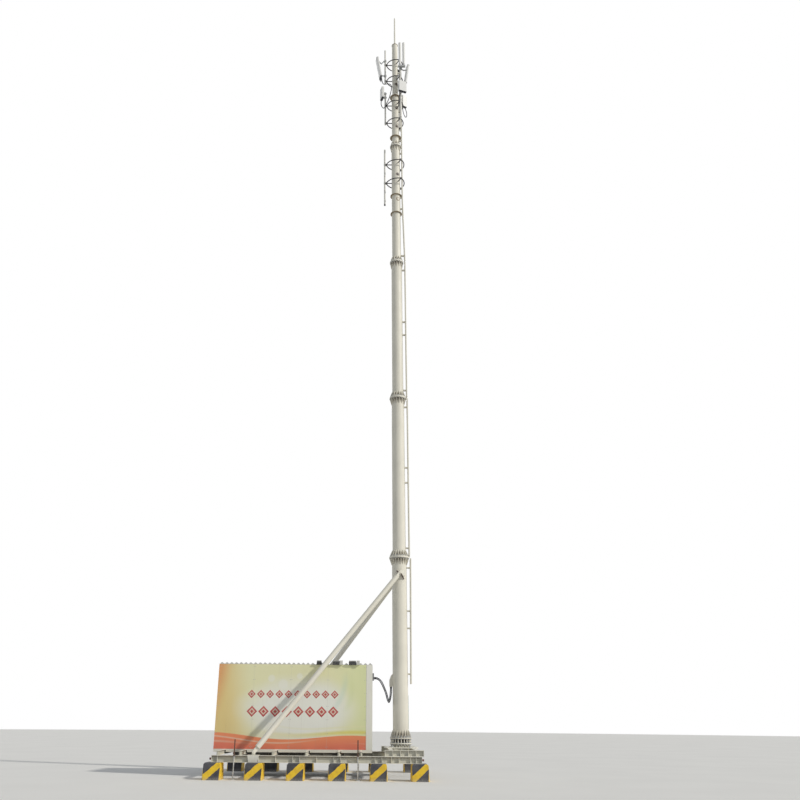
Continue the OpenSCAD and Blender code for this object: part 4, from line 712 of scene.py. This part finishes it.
def hazard_paint_on_concrete(paint):
    """Ballast blocks: a yellow band over charcoal ends, yellow sides, worn to concrete."""
    low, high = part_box("ballast_blocks")
    pitch = (high.x - low.x - BLOCK_WIDTH) / (BLOCK_COUNT - 1)
    along = ((paint.x - low.x - BLOCK_WIDTH / 2) / pitch + 0.5).wrap() * pitch - pitch / 2
    climb, aside, middle, waver = BLOCK_WIDTH / high.z * 1.03, 0.015, high.z * 0.48, 0.008
    off_band = along + aside - (paint.z - middle) * climb
    wobble = paint.noise(14).spread(-waver, waver)
    # The band is left off the inner faces, whose plain charcoal stands in for their shade under
    # the frame
    outward = (paint.facing_y * paint.y).above(0.02)
    on_band = abs(off_band + wobble).rise(BAND_HALF + 0.003, BAND_HALF - 0.003) * outward
    yellow = paint.noise(9, 4.0).between((0.90, 0.60, 0.030), (0.75, 0.48, 0.035), 0.35)
    charcoal = paint.noise(7, 4.0).between((0.040, 0.041, 0.050), (0.085, 0.085, 0.095))
    dust = paint.noise(30, 5.0, 0.65)
    colour = paint.mix(
        charcoal, (on_band.most(abs(paint.facing_x).rise(0.55, 0.70)), yellow),
        (paint.z.rise(0.10, 0.0, 0.0, 0.5) * dust.rise(0.3, 0.6), (0.42, 0.40, 0.36)),
        (
            paint.noise(16, 6.0, 0.7).rise(0.66, 0.70, 0.0, 0.85),
            dust.between((0.42, 0.41, 0.38), (0.55, 0.53, 0.49)),
        ),
    )
    pits = paint.cells(55).rise(0.0, 0.35) * 0.6 + paint.noise(120) * 0.4
    return paint.finish(colour, dust.spread(0.55, 0.8), bump=pits, depth=0.003)


def jack_steel(paint):
    """Levelling screws: rusty dark above the beam, bare grey thread below."""
    thread_pitch = 0.006
    beam_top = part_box("long_beams")[1].z
    mottled = paint.mottle(40)
    grey = mottled.between((0.58, 0.60, 0.61), (0.42, 0.43, 0.43))
    brown = mottled.between((0.075, 0.050, 0.042), (0.16, 0.085, 0.05))
    colour = paint.mix(grey, (paint.z.rise(beam_top - 0.06, beam_top + 0.02), brown))
    thread = paint.z.teeth(thread_pitch) * 2
    return paint.finish(colour, mottled.spread(0.45, 0.75), 0.4, bump=thread, depth=0.0015)


def lamp_housing_paint(paint):
    """Floodlights: charcoal housings with a weathered grey lid."""
    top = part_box("floodlights")[1].z
    dust = paint.noise(24, 4.0)
    charcoal = dust.between((0.060, 0.060, 0.070), (0.13, 0.13, 0.135), 0.3, 0.75)
    grey = dust.between((0.42, 0.42, 0.41), (0.30, 0.29, 0.27), 0.3, 0.75)
    colour = paint.mix(charcoal, (paint.z.rise(top - 0.030, top - 0.024), grey))
    return paint.finish(colour, dust.spread(0.42, 0.62), bump=(150, 3.0))


def cabin_wall_panel(paint):
    """White sandwich panels: shallow ribs, a joint every metre and dirt near the sill."""
    rib, panel, dirt_top, sill_height = 0.125, 1.0, 1.25, 0.70
    on_long, on_end = abs(paint.facing_y).above(0.5), abs(paint.facing_x).above(0.5)
    ribs = (paint.x.teeth(rib) * on_long + paint.y.teeth(rib) * on_end).rise(0.38, 0.46)
    joint = (paint.x - cad_low.x).teeth(panel).above(0.494) * on_long
    runs = paint.streaks(20, 0.6)
    dirt = paint.z.rise(dirt_top, sill_height, 0.0, 0.35) * paint.noise(8, 4.0).rise(0.35, 0.7)
    colour = paint.mix(
        (0.70, 0.71, 0.71), (runs.rise(0.5, 0.8, 0.0, 0.35), (0.46, 0.44, 0.40)), (dirt, GRIME_AND_SHADE),
        (joint * 0.6, (0.24, 0.24, 0.24)),
    )
    relief = ribs * 0.7 - joint * 0.7
    return paint.finish(colour, runs.spread(0.38, 0.52), bump=relief, depth=0.004)


def trim_coat(paint):
    """Off-white coat of the wave closures and the cabin's folded angles."""
    dirt = paint.streaks(9, 2.5, 9)
    colour = paint.mix(
        (0.62, 0.615, 0.58), (dirt.rise(0.45, 0.8, 0.0, 0.4), (0.40, 0.38, 0.34))
    )
    return paint.finish(colour, dirt.spread(0.42, 0.56), bump=(80, 3.0))


def roof_sheet_coat(paint):
    """Pale coated roof sheet with dust in its troughs."""
    low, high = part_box("roof_sheet")
    dust = paint.noise(6, 5.0, 0.6)
    trough = paint.z.rise(high.z - 0.02, low.z, 0.0, 0.6) * dust.rise(0.3, 0.6)
    colour = paint.mix(dust.between((0.62, 0.63, 0.62), (0.72, 0.72, 0.70)), (trough, GRIME_AND_SHADE))
    return paint.finish(colour, 0.42, 0.15, bump=(90, 3.0))


def cabin_floor_board(paint):
    """Cabin floor: grey painted board with worn grain, and painted shade near black underneath."""
    grain = paint.noise(4.0, 6.0, 0.65, paint.stretched((1.5, 30, 30)))
    colour = paint.mix(
        grain.between((0.30, 0.285, 0.26), (0.43, 0.40, 0.36), 0.35),
        (paint.underside(0.5, 0.9) * 0.85, (0.050, 0.045, 0.040)),
    )
    return paint.finish(colour, 0.6, bump=grain, depth=0.0012)


def cable_entry_paint(paint):
    """Grey paint of the cable inlet, and the pole's cream on the hood."""
    hood_from = 1.7
    dirt = paint.mottle(14).rise(0.5, 0.75, 0.0, 0.3)
    colour = paint.mix((0.15, 0.15, 0.155), (paint.x.above(hood_from), CREAM), (dirt, GRIME_AND_SHADE))
    return paint.finish(colour, 0.5, bump=(180, 2.0))


def plain_board(paint):
    """Bare board beside the print."""
    runs = paint.streaks(20, 0.6).rise(0.45, 0.8, 0.0, 0.4)
    colour = paint.mix((0.84, 0.83, 0.74), (runs, (0.66, 0.63, 0.55)))
    return paint.finish(colour, 0.5, bump=(60, 3.0))


def studio_floor(paint):
    """Plain pale studio floor."""
    darker = tuple(c * 0.97 for c in FLOOR_COLOUR)
    return paint.finish(paint.noise(0.4, 2.0).between(FLOOR_COLOUR, darker), 0.85)


# Generic print of the boards; across and up go from 0 to 1 over its face

def printed_haze(paint, across, up):
    """Haze from orange at the left over straw to green at the right, with a pale middle."""
    away = (across - 0.56).squared() * 3.0 + (up - 0.45).squared() * 3.0
    haze = paint.noise(0.9, 2.0).rise(0.35, 0.7, -0.05, 0.05)
    return paint.mix(
        (0.76, 0.37, 0.15), ((across * 3.4 + (1 - up) * 0.45).rise(0.0, 0.42), (0.78, 0.61, 0.26)),
        ((across * 1.3 + up * 0.10).rise(0.10, 0.40), (0.82, 0.80, 0.50)),
        ((away + haze).rise(0.08, 0.66, 1.0, 0.0), (0.86, 0.865, 0.79)),
        (across.rise(0.70, 1.0) * away.rise(0.10, 0.60), (0.76, 0.79, 0.44)),
    )


def printed_glints(paint, colour, across, up):
    """Pale spots in the haze, and two bent blades of light at its right."""
    for place, height, size in ((0.36, 0.83, 0.055), (0.44, 0.76, 0.075), (0.55, 0.86, 0.045)):
        spot = ((across - place).squared() * 3.5 + (up - height).squared()).root()
        colour = paint.mix(colour, (spot.rise(size, size * 0.55, 0.0, 0.45), (0.88, 0.885, 0.82)))
    for place, tilt, tint in ((0.80, 0.35, (0.50, 0.68, 0.58)), (0.88, 0.22, (0.66, 0.73, 0.36))):
        fan = abs(across - place - (up - 0.5) * tilt + (up - 0.5).squared() * 0.5)
        blade = fan.rise(0.035, 0.0) * up.rise(0.40, 0.55) * up.rise(0.95, 0.72)
        colour = paint.mix(colour, (blade * 0.30, tint))
    return colour


def printed_ribbon(paint, colour, across, up):
    """Wavy red ribbon along the foot with pale streaks, and thin yellow lines above it."""
    crest = (across * 5.9 + 2.1).sine() * 0.046 + (across * 2.9 + 0.7).sine() * 0.036 + 0.128
    under = crest - up
    for rise, width, strength, tint in (
        (0.034, 0.040, 0.85, (0.76, 0.68, 0.16)), (0.095, 0.020, 0.50, (0.82, 0.80, 0.48)),
        (0.012, 0.008, 0.60, (0.82, 0.74, 0.42)),
    ):
        line = abs(under + rise + (across - 0.8).squared() * rise * 4).rise(width, 0.0)
        colour = paint.mix(colour, (line * strength * across.rise(0.15, 0.9), tint))
    ribbon = (under * 6).between((0.86, 0.28, 0.13), (0.76, 0.19, 0.12), 0.0, 1.0)
    for shift, bend, width, strength in (
        (0.030, 4.2, 0.014, 0.85), (0.078, 6.0, 0.020, 0.60), (0.110, 3.1, 0.010, 0.55),
    ):
        streak = abs(under - shift - (across * bend + shift * 20).sine() * 0.022)
        fading = streak.rise(width, 0.0) * (across * 3.3 + shift * 30).sine().rise(-0.3, 0.9)
        ribbon = paint.mix(ribbon, (fading * strength, (0.84, 0.58, 0.42)))
    return paint.mix(colour, (under.rise(-0.002, 0.004), ribbon))


def diamond_row(paint, colour, across, up, count, height, half):
    """A row of plain red lozenges with pale hearts across the middle of the print."""
    start, span, aspect = 0.20, 0.62, 1.87
    step = span / count
    cell = ((across - start) / step).wrap() * step - step / 2
    reach = abs(cell) * aspect + abs(up - height)
    inside = reach.below(half) * across.above(start) * across.below(start + span)
    heart = reach.below(half * 0.62) * reach.above(half * 0.34)
    red = (up - height).between((0.46, 0.055, 0.055), (0.56, 0.12, 0.11), -half, half)
    return paint.mix(colour, (inside, paint.mix(red, (heart * 0.85, (0.78, 0.70, 0.56)))))


def board_print(paint):
    """Printed boards: a warm haze over a red ribbon, with two rows of plain diamonds."""
    low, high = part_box("printed_boards")
    across = (paint.x - low.x) / (high.x - low.x)
    up = (paint.z - low.z) / (high.z - low.z)
    colour = printed_glints(paint, printed_haze(paint, across, up), across, up)
    colour = printed_ribbon(paint, colour, across, up)
    for count, height, half in ((10, 0.640, 0.050), (8, 0.435, 0.066)):
        colour = diamond_row(paint, colour, across, up, count, height, half)
    runs = paint.streaks(22, 0.6)
    colour = paint.mix(colour, (runs.rise(0.58, 0.85, 0.0, 0.22), GRIME_AND_SHADE))
    for seam in BOARD_SEAMS:
        line = abs(paint.x - (low.x + seam)).rise(0.012, 0.004)
        colour = paint.mix(colour, (line * 0.16, (0.60, 0.58, 0.48)))
    colour = paint.mix((0.50, 0.49, 0.44), (abs(paint.facing_y).rise(0.3, 0.7), colour))
    dented = paint.noise(1.4, 2.0, 0.4)
    return paint.finish(colour, runs.spread(0.36, 0.52), bump=dented, depth=0.010, coat=0.08)


# Mesh building

def built_object(name, builder, material):
    """Object of built faces with one material."""
    mesh = bpy.data.meshes.new(name)
    builder.to_mesh(mesh)
    builder.free()
    mesh.materials.append(material)
    return new_object(name, mesh)


def add_piece(name, builder, material, round_sides=False):
    """Finish built faces as a piece of the tower, with outward normals."""
    bmesh.ops.recalc_face_normals(builder, faces=builder.faces)
    piece = built_object(name, builder, material)
    if round_sides:
        for face in piece.data.polygons:
            face.use_smooth = len(face.vertices) == 4
    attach(piece, "root")
    return piece


def skin_rings(builder, rings, looped):
    """Join rings of points into a tube with closed ends, or into a loop."""
    rows = [[builder.verts.new(p) for p in ring] for ring in rings]
    if looped:
        rows.append(rows[0])
    else:
        builder.faces.new(rows[0][::-1])
        builder.faces.new(rows[-1])
    for lower, upper in zip(rows, rows[1:]):
        for k in range(len(lower)):
            j = (k + 1) % len(lower)
            builder.faces.new((lower[k], lower[j], upper[j], upper[k]))


def add_skins(name, skins, material, round_sides=False, looped=False):
    """One piece of several skins, each given by its rings."""
    builder = bmesh.new()
    for rings in skins:
        skin_rings(builder, rings, looped)
    return add_piece(name, builder, material, round_sides)


def box_rings(low, high):
    """Rings of a closed box."""
    return [
        [(low[0], low[1], z), (high[0], low[1], z), (high[0], high[1], z), (low[0], high[1], z)]
        for z in (low[2], high[2])
    ]


def swept_rings(outline, start, end):
    """Rings of an outline that is moved from one offset to another."""
    return [[Vector(p) + Vector(offset) for p in outline] for offset in (start, end)]


def smooth_path(route, steps):
    """Smooth path along a route that keeps its two ends."""
    points = [Vector(p) for p in route]
    guide = [2 * points[0] - points[1], *points, 2 * points[-1] - points[-2]]
    path = []
    for i in range(len(points) - 1):
        a, b, c, d = guide[i:i + 4]
        for k in range(steps):
            t = k / steps
            path.append((
                (1 - t) ** 3 * a + (3 * t ** 3 - 6 * t * t + 4) * b
                + (3 * t + 3 * t * t - 3 * t ** 3 + 1) * c + t ** 3 * d
            ) / 6)
    path.append(points[-1])
    return path


def headings(path, route):
    """Direction at each point of a path, which keeps the route's own at its ends."""
    first = Vector(route[1]) - Vector(route[0])
    last = Vector(route[-1]) - Vector(route[-2])
    inner = [path[i + 1] - path[i - 1] for i in range(1, len(path) - 1)]
    return [v.normalized() for v in (first, *inner, last)]


def tube_rings(path, heads, radii, sides):
    """Rings of points round a path, carried along it without a twist."""
    side = UP if abs(heads[0].y) > 0.5 else BACK
    rings = []
    for point, head, radius in zip(path, heads, radii):
        side = (side - head * side.dot(head)).normalized()
        other = head.cross(side)
        rings.append([
            point + radius * (cos(2 * pi * k / sides) * side + sin(2 * pi * k / sides) * other)
            for k in range(sides)
        ])
    return rings


def add_tubes(name, routes, diameters, sides, steps, material):
    """One piece of round tubes along routes."""
    skins = []
    for route, diameter in zip(routes, diameters):
        path = smooth_path(route, steps)
        skins.append(tube_rings(path, headings(path, route), [diameter / 2] * len(path), sides))
    return add_skins(name, skins, material, True)


# Cables

def make_feeders(sheath):
    """Three feeder cables in a drip loop."""
    for number, route in enumerate(FEEDER_ROUTES, 1):
        piece = add_tubes(
            f"feeder_cable_{number}", [route], [FEEDER_DIAMETER], 16, 2, sheath
        )
        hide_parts(f"feeder_{number}")


def make_jumpers(sheath):
    """Jumper cables that are clipped along the hoops and pipes."""
    piece = add_tubes("jumpers", JUMPER_ROUTES, JUMPER_DIAMETERS, 12, 3, sheath)
    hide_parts("jumper_cables")


def make_gland_boots(sheath):
    """Tapered boots that hold each feeder where it enters the inlet box and the hood."""
    boot_len, wide, narrow = 0.05, 0.0152, 0.0134
    stages = ((0.0, wide), (0.012, wide), (0.018, wide * 0.96), (boot_len, narrow))
    radii = [radius for _, radius in stages]
    skins = []
    for route in FEEDER_ROUTES:
        for start, ahead in ((route[0], route[1]), (route[-1], route[-2])):
            foot = Vector(start)
            head = (Vector(ahead) - foot).normalized()
            path = [foot + head * along for along, _ in stages]
            skins.append(tube_rings(path, [head] * len(path), radii, 20))
    add_skins("gland_boots", skins, sheath, True)


# Fasteners, grown by geometry node trees

COLUMN_SIZES = ("radius", "height", "middle")


class Growth:
    """A geometry node tree that plants a fastener of upright columns on points."""

    def __init__(self, name, columns, material, spin):
        """Columns are given by their number of sides; the spin is in radians."""
        self.group = bpy.data.node_groups.new(name, "GeometryNodeTree")
        self.group.interface.new_socket("Mesh", in_out="OUTPUT", socket_type="NodeSocketGeometry")
        self.entry = self.group.nodes.new("NodeGroupInput")
        self.identifiers = {}
        points = self.size("Points", "NodeSocketGeometry")
        fastener = self.group.nodes.new("GeometryNodeJoinGeometry")
        for part, sides in columns.items():
            self.group.links.new(self.column(part, sides), fastener.inputs[0])
        rows = self.node("GeometryNodeInstanceOnPoints", {
            "Points": points, "Instance": fastener.outputs[0], "Rotation": self.turned(spin),
        })
        real = self.node("GeometryNodeRealizeInstances", {"Geometry": rows})
        steel = self.node("GeometryNodeSetMaterial", {"Geometry": real, "Material": material})
        add_node(self.group, "NodeGroupOutput", {0: steel})

    def size(self, name, kind="NodeSocketFloat"):
        """A named input of the tree."""
        socket = self.group.interface.new_socket(name, in_out="INPUT", socket_type=kind)
        self.identifiers[name] = socket.identifier
        return self.entry.outputs[name]

    def node(self, kind, inputs, output=0, **settings):
        """Add a node and return one of its outputs."""
        return add_node(self.group, kind, inputs, **settings).outputs[output]

    def column(self, part, sides):
        """Upright prism with its own radius, height and middle."""
        radius, height, middle = (self.size(f"{part} {what}") for what in COLUMN_SIZES)
        body = self.node("GeometryNodeMeshCylinder", {
            "Vertices": sides, "Side Segments": 1, "Fill Segments": 1, "Radius": radius,
            "Depth": height,
        })
        place = self.node("ShaderNodeCombineXYZ", {"Z": middle})
        return self.node("GeometryNodeTransform", {"Geometry": body, "Translation": place})

    def turned(self, spin):
        """Rotation to each point's own axis, after a random turn up to the spin."""
        own = self.node(
            "GeometryNodeInputNamedAttribute", {"Name": "axis"}, data_type="FLOAT_VECTOR"
        )
        upright = self.node("FunctionNodeAlignRotationToVector", {"Vector": own}, axis="Z")
        chance = {2: 0.0, 3: spin, "Seed": 7}
        angle = self.node("FunctionNodeRandomValue", chance, 1, data_type="FLOAT")
        twist = self.node("FunctionNodeAxisAngleToRotation", {"Axis": tuple(UP), "Angle": angle})
        both = {"Rotation": upright, "Rotate By": twist}
        return self.node("FunctionNodeRotateRotation", both, rotation_space="LOCAL")

    def grown(self, places, columns):
        """Plain mesh on places with an axis; columns have a radius, a height and a foot."""
        points = bpy.data.meshes.new("points")
        points.from_pydata([place for place, _ in places], [], [])
        axes = points.attributes.new("axis", "FLOAT_VECTOR", "POINT")
        for item, (_, axis) in zip(axes.data, places):
            item.vector = axis
        host = new_object("host", points)
        modifier = host.modifiers.new("growth", "NODES")
        modifier.node_group = self.group
        for part, (radius, height, foot) in columns.items():
            for what, value in zip(COLUMN_SIZES, (radius, height, height / 2 + foot)):
                modifier[self.identifiers[f"{part} {what}"]] = value
        evaluated = host.evaluated_get(bpy.context.evaluated_depsgraph_get())
        mesh = bpy.data.meshes.new_from_object(evaluated)
        host.modifiers.remove(modifier)
        bpy.data.objects.remove(host)
        return mesh


def grown_bolts(growth, places, nut_radius, nut_height, bolt_end):
    """Bolts of a washer, a nut and the bolt's end."""
    washer = nut_height * 0.22
    return growth.grown(places, {
        "Washer": (nut_radius * 1.28, washer, 0.0), "Nut": (nut_radius, nut_height, washer),
        "End": (nut_radius * 0.52, bolt_end, washer + nut_height),
    })


def grown_screws(growth, places, head_radius):
    """Low round screw heads with a washer."""
    washer = 0.0012
    return growth.grown(places, {
        "Washer": (head_radius * 1.5, washer, 0.0),
        "Head": (head_radius, head_radius * 0.7, washer),
    })


def add_grown(name, meshes, material):
    """One steel piece from several grown meshes."""
    builder = bmesh.new()
    for mesh in meshes:
        builder.from_mesh(mesh)
    add_piece(name, builder, material)


def make_flange_bolts(growth, material):
    """Bolts of the four pole joints and of the base, nuts above and heads below."""
    outward, below_base = 0.003, 0.024
    rings = []
    for i in range(1, 5):
        radius = (TUBE_DIAMETERS[i - 1] / 2 + flange_radii[i]) / 2 + outward
        count, nut, joint = GUSSET_COUNTS[i], NUT_RADII[i], section_feet[i]
        rings.append((count, radius, joint + FLANGE_THICK, UP, nut, 0.020, 0.016))
        rings.append((count, radius, joint - FLANGE_THICK, DOWN, nut, 0.016, 0.001))
    base = section_feet[0]
    for height, axis, nut_height, bolt_end in (
        (base + FLANGE_THICK, UP, 0.022, 0.030), (base - below_base, UP, 0.0185, 0.001),
        (RING_FOOT + FLANGE_THICK, UP, 0.020, 0.001), (RING_FOOT, DOWN, 0.018, 0.012),
    ):
        sizes = (NUT_RADII[0], nut_height, bolt_end)
        rings.append((GUSSET_COUNTS[0], STUD_RING_RADIUS, height, axis, *sizes))
    meshes = []
    for count, radius, height, axis, *sizes in rings:
        places = [(about_pole(2 * pi * i / count, radius, height), axis) for i in range(count)]
        meshes.append(grown_bolts(growth, places, *sizes))
    add_grown("flange_bolts", meshes, material)


def hoop_corners():
    """Radius, height and angle of each hoop corner that carries a pipe."""
    return [
        (radius, z, radians(turn))
        for radius, heights, turns in HOOP_SETS for z in heights for turn in turns
    ]


def make_small_bolts(growth, material):
    """Nuts of the hoop corners and the base plate."""
    hoops = [
        (about_pole(turn, radius + BOLT_PAST_HOOP, z + side * HOOP_NODE / 2), UP * side)
        for radius, z, turn in hoop_corners() for side in (-1, 1)
    ]
    plate_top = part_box("pedestal")[0].z + PLATE_THICK
    plate = [
        (pole_axis + Vector((x * PLATE_BOLT_OFF, y * PLATE_BOLT_OFF, plate_top)), UP)
        for x in (-1, 1) for y in (-1, 1)
    ]
    meshes = [
        grown_bolts(growth, hoops, nut_radius=0.0105, nut_height=0.009, bolt_end=0.008),
        grown_bolts(growth, plate, nut_radius=0.024, nut_height=0.022, bolt_end=0.028),
    ]
    add_grown("small_bolts", meshes, material)


def evenly(start, stop, step):
    """Places from start to stop, spread evenly at about a step."""
    count = max(1, round((stop - start) / step))
    return [start + (stop - start) * k / count for k in range(count + 1)]


def make_screws(material):
    """Screws along the boards' seams, on the cabin's back and ends, and on the ports."""
    low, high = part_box("printed_boards")
    edge, beside, spaces, sheet_head, port_head = 0.06, 0.022, 6, 0.0048, 0.0028
    seams = [low.x + 0.03, *(low.x + x for x in BOARD_SEAMS), high.x - 0.02]
    step = (high.z - low.z - 2 * edge) / spaces
    places = [
        (Vector((x + side, low.y, low.z + edge + k * step)), FRONT)
        for x in seams for k in range(spaces + 1) for side in (-beside, beside)
    ]
    low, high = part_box("long_walls")
    levels = (low.z + 0.05, high.z - 0.05)
    places += [
        (Vector((x, high.y, z)), BACK)
        for x in evenly(low.x + 0.06, high.x - 0.05, 0.25) for z in levels
    ]
    places += [
        (Vector((x, y, z)), axis)
        for y in evenly(low.y + 0.10, high.y - 0.09, 0.24) for z in levels
        for x, axis in ((high.x, RIGHT), (low.x, LEFT))
    ]
    growth = Growth("screws", {"Washer": 10, "Head": 6}, material, 0.0)
    meshes = [
        grown_screws(growth, places, sheet_head), grown_screws(growth, port_screws(), port_head),
    ]
    add_grown("sheet_screws", meshes, material)


def port_screws():
    """Six screws on each port's rim and four on the cover plate's edge."""
    out = heading(PORT_AZIMUTH)
    across = UP.cross(out)
    places = []
    for z, tube in PORTS:
        for k in range(6):
            turn = 2 * pi * (k + 0.5) / 6
            spread = (across * cos(turn) + UP * sin(turn)) * PORT_SCREW_RING
            places.append((pole_axis + out * (tube / 2 + PORT_RIM_OUT) + spread + UP * z, out))
    reach = TUBE_DIAMETERS[3] / 2 + COVER_THICK
    for side in (-COVER_SCREW_OFF, COVER_SCREW_OFF):
        for level in (-COVER_SCREW_UP, COVER_SCREW_UP):
            face = heading(PORT_AZIMUTH + side / reach)
            places.append((pole_axis + face * reach + UP * (COVER_HEIGHT + level), face))
    return places


def make_u_bolts(material):
    """U-bolts that clamp the antenna pipes to the hoops' corners."""
    bend, leg_start, leg_end, half_gap, bar = 0.0335, 0.026, 0.052, 0.018, 0.010
    routes = []
    for radius, z, turn in hoop_corners():
        out = heading(turn)
        across = UP.cross(out)
        centre = pole_axis + out * (radius + PIPE_REACH)
        arc = [
            centre + across * bend * cos(pi * k / 8) + out * bend * sin(pi * k / 8)
            for k in range(9)
        ]
        first, last = (
            [centre - out * back + across * bend * side for back in (leg_start, leg_end)]
            for side in (1, -1)
        )
        for level in (z - half_gap, z + half_gap):
            routes.append([p + UP * level for p in (*first[::-1], *arc, *last)])
    add_tubes("u_bolts", routes, [bar] * len(routes), 8, 1, material)


# Trims and fittings

def make_wave_fillers(material):
    """Pale closures that fill the roof sheet's waves at the front and the back."""
    low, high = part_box("roof_sheet")
    sheet_t, thick, steps_a_wave = 0.0012, 0.016, 8
    lift = (high.z - low.z - sheet_t) / 2
    foot = low.z - 0.001
    steps = WAVES * steps_a_wave
    skins = []
    for y in (low.y + 0.002, high.y - 0.018):
        rings = []
        for i in range(steps + 1):
            x = low.x + (high.x - low.x) * i / steps
            top = max(low.z + lift * (1 - cos(2 * pi * i / steps_a_wave)) - 0.0002, low.z)
            rings.append([(x, y, top), (x, y, foot), (x, y + thick, foot), (x, y + thick, top)])
        skins.append(rings)
    add_skins("roof_wave_fillers", skins, material)


def make_cabin_trims(material):
    """Folded corner angles, and bands along the top and foot of the cabin's back and ends."""
    low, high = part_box("long_walls")
    leg, thick, band, board_gap = 0.060, 0.0015, 0.05, 0.004
    back, inside = high.y + thick, high.y - leg
    skins = []
    for x, outer, inner in (
        (low.x, low.x - thick, low.x + leg), (high.x, high.x + thick, high.x - leg),
    ):
        outline = [
            (outer, back, 0), (outer, inside, 0), (x, inside, 0), (x, high.y, 0),
            (inner, high.y, 0), (inner, back, 0),
        ]
        skins.append(swept_rings(outline, (0, 0, low.z), (0, 0, high.z)))
    for z0, z1 in ((low.z, low.z + band), (high.z - band, high.z)):
        skins.append(box_rings((low.x + leg, high.y, z0), (high.x - leg, back, z1)))
        for near, far in ((low.x - thick, low.x), (high.x, high.x + thick)):
            skins.append(box_rings((near, low.y + board_gap, z0), (far, inside, z1)))
    add_skins("cabin_trims", skins, material)


def make_stud_shade_sleeve(material):
    """Dark sleeve behind the studs, between the anchor ring and the base flange, put in as painted
    shade for the dark inside of the stud ring.
    """
    low, high, sides = RING_FOOT + FLANGE_THICK, section_feet[0], 48
    inner = SHADE_SLEEVE_RADIUS - SHADE_SLEEVE_THICK
    rings = [
        [about_pole(2 * pi * k / sides, reach, z) for k in range(sides)]
        for reach, z in ((SHADE_SLEEVE_RADIUS, low), (SHADE_SLEEVE_RADIUS, high), (inner, high), (inner, low))
    ]
    add_skins("stud_shade_sleeve", [rings], material, True, looped=True)


def make_brace_wings(material):
    """Wings square to each brace, welded to the sides of its lug and to the pole."""
    head = Vector((pole_axis.x, -BRACE_HEAD_OFF, section_feet[1] - BRACE_HEAD_DROP))
    along = (head - BRACE_FOOT).normalized()
    level = BACK.cross(along).normalized()
    inward = along.cross(level)
    across = (level - along * WING_LEAN).normalized()
    skins = [
        [
            [(head + across * s + inward * t + along * lift) * mirror for s, t in outline]
            for lift in (-WING_THICK / 2, WING_THICK / 2)
        ]
        for mirror in (Vector((1, 1, 1)), Vector((1, -1, 1))) for outline in WING_OUTLINES
    ]
    add_skins("brace_wings", skins, material)


def make_seam_fillers():
    """Joint strips that close the gaps between the printed boards, printed like the boards."""
    low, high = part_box("printed_boards")
    half_width, proud, deep, margin = 0.009, 0.0012, 0.006, 0.001
    skins = [
        box_rings(
            (low.x + seam - half_width, low.y - proud, low.z + margin),
            (low.x + seam + half_width, low.y + deep, high.z - margin),
        )
        for seam in BOARD_SEAMS
    ]
    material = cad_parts["printed_boards"].material_slots[0].material
    add_skins("board_joint_strips", skins, material)


def make_lamp_boxes(material):
    """Pale gear boxes beside the two right floodlights, with a sloping lid."""
    width, lamp_depth = 0.085, 0.075
    middle_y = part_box("floodlights")[0].y + lamp_depth
    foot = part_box("printed_boards")[1].z
    side = ((-0.045, 0.0), (0.030, 0.0), (0.030, 0.085), (0.010, 0.112), (-0.045, 0.098))
    skins = [
        swept_rings([(x, y, z) for y, z in side], (0, middle_y, foot), (width, middle_y, foot))
        for x in LAMP_RIGHT_EDGES
    ]
    add_skins("lamp_gear_boxes", skins, material)


def make_floor():
    """Pale floor, wide enough to reach past every view."""
    builder = bmesh.new()
    bmesh.ops.create_circle(builder, cap_ends=True, segments=64, radius=FLOOR_REACH)
    built_object("studio_floor", builder, coated(studio_floor))


NODE_FINISHES = {
    hazard_paint_on_concrete: "ballast_blocks",
    long_beam_paint: "long_beams",
    frame_cream_paint: "cross_joists end_girders cross_girders pedestal brace_brackets cabin_skid",
    pole_cream_paint: " ".join(f"pole_section_{i}" for i in range(1, 6)),
    fitting_cream_paint: "lightning_rod ladder front_brace rear_brace anchor_studs",
    ring_plate_paint: "ring_plates pole_cap",
    port_cover_paint: "port_covers",
    antenna_pipe_paint: "antenna_pipes",
    galvanised_steel: "antenna_brackets",
    jack_steel: "levelling_jacks",
    dark_paint: "lower_hoops upper_hoops",
    lamp_housing_paint: "floodlights",
    rod_antenna_white: "rod_antennas",
    panel_antenna_white: "panel_antennas",
    radio_white: "radio_boxes",
    earth_strip_paint: "earth_strip",
    cabin_wall_panel: "long_walls end_walls cabin_roof",
    roof_sheet_coat: "roof_sheet",
    cabin_floor_board: "cabin_floor",
    board_print: "printed_boards",
    plain_board: "plain_strip",
    cable_entry_paint: "cable_entries",
}
SHEATHED_NODES = ["connectors", "jumper_cables", "feeder_1", "feeder_2", "feeder_3"]


def coat_nodes(names, material):
    """Give CAD nodes one material."""
    for name in names:
        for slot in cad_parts[name].material_slots:
            slot.material = material


set_camera()
set_light()
make_floor()
sheath = coated(cable_sheath)
make_feeders(sheath)
make_jumpers(sheath)
make_gland_boots(sheath)
zinc = coated(galvanised_steel)
bolts = Growth("bolts", {"Washer": 12, "Nut": 6, "End": 8}, zinc, 1.05)
make_flange_bolts(bolts, zinc)
make_small_bolts(bolts, zinc)
make_screws(zinc)
make_u_bolts(zinc)
trim = coated(trim_coat)
make_wave_fillers(trim)
make_cabin_trims(trim)
make_lamp_boxes(trim)
make_stud_shade_sleeve(coated(dark_paint))
make_brace_wings(coated(brace_wing_paint))
for finish, names in NODE_FINISHES.items():
    coat_nodes(names.split(), coated(finish))
coat_nodes(SHEATHED_NODES, sheath)
make_seam_fillers()
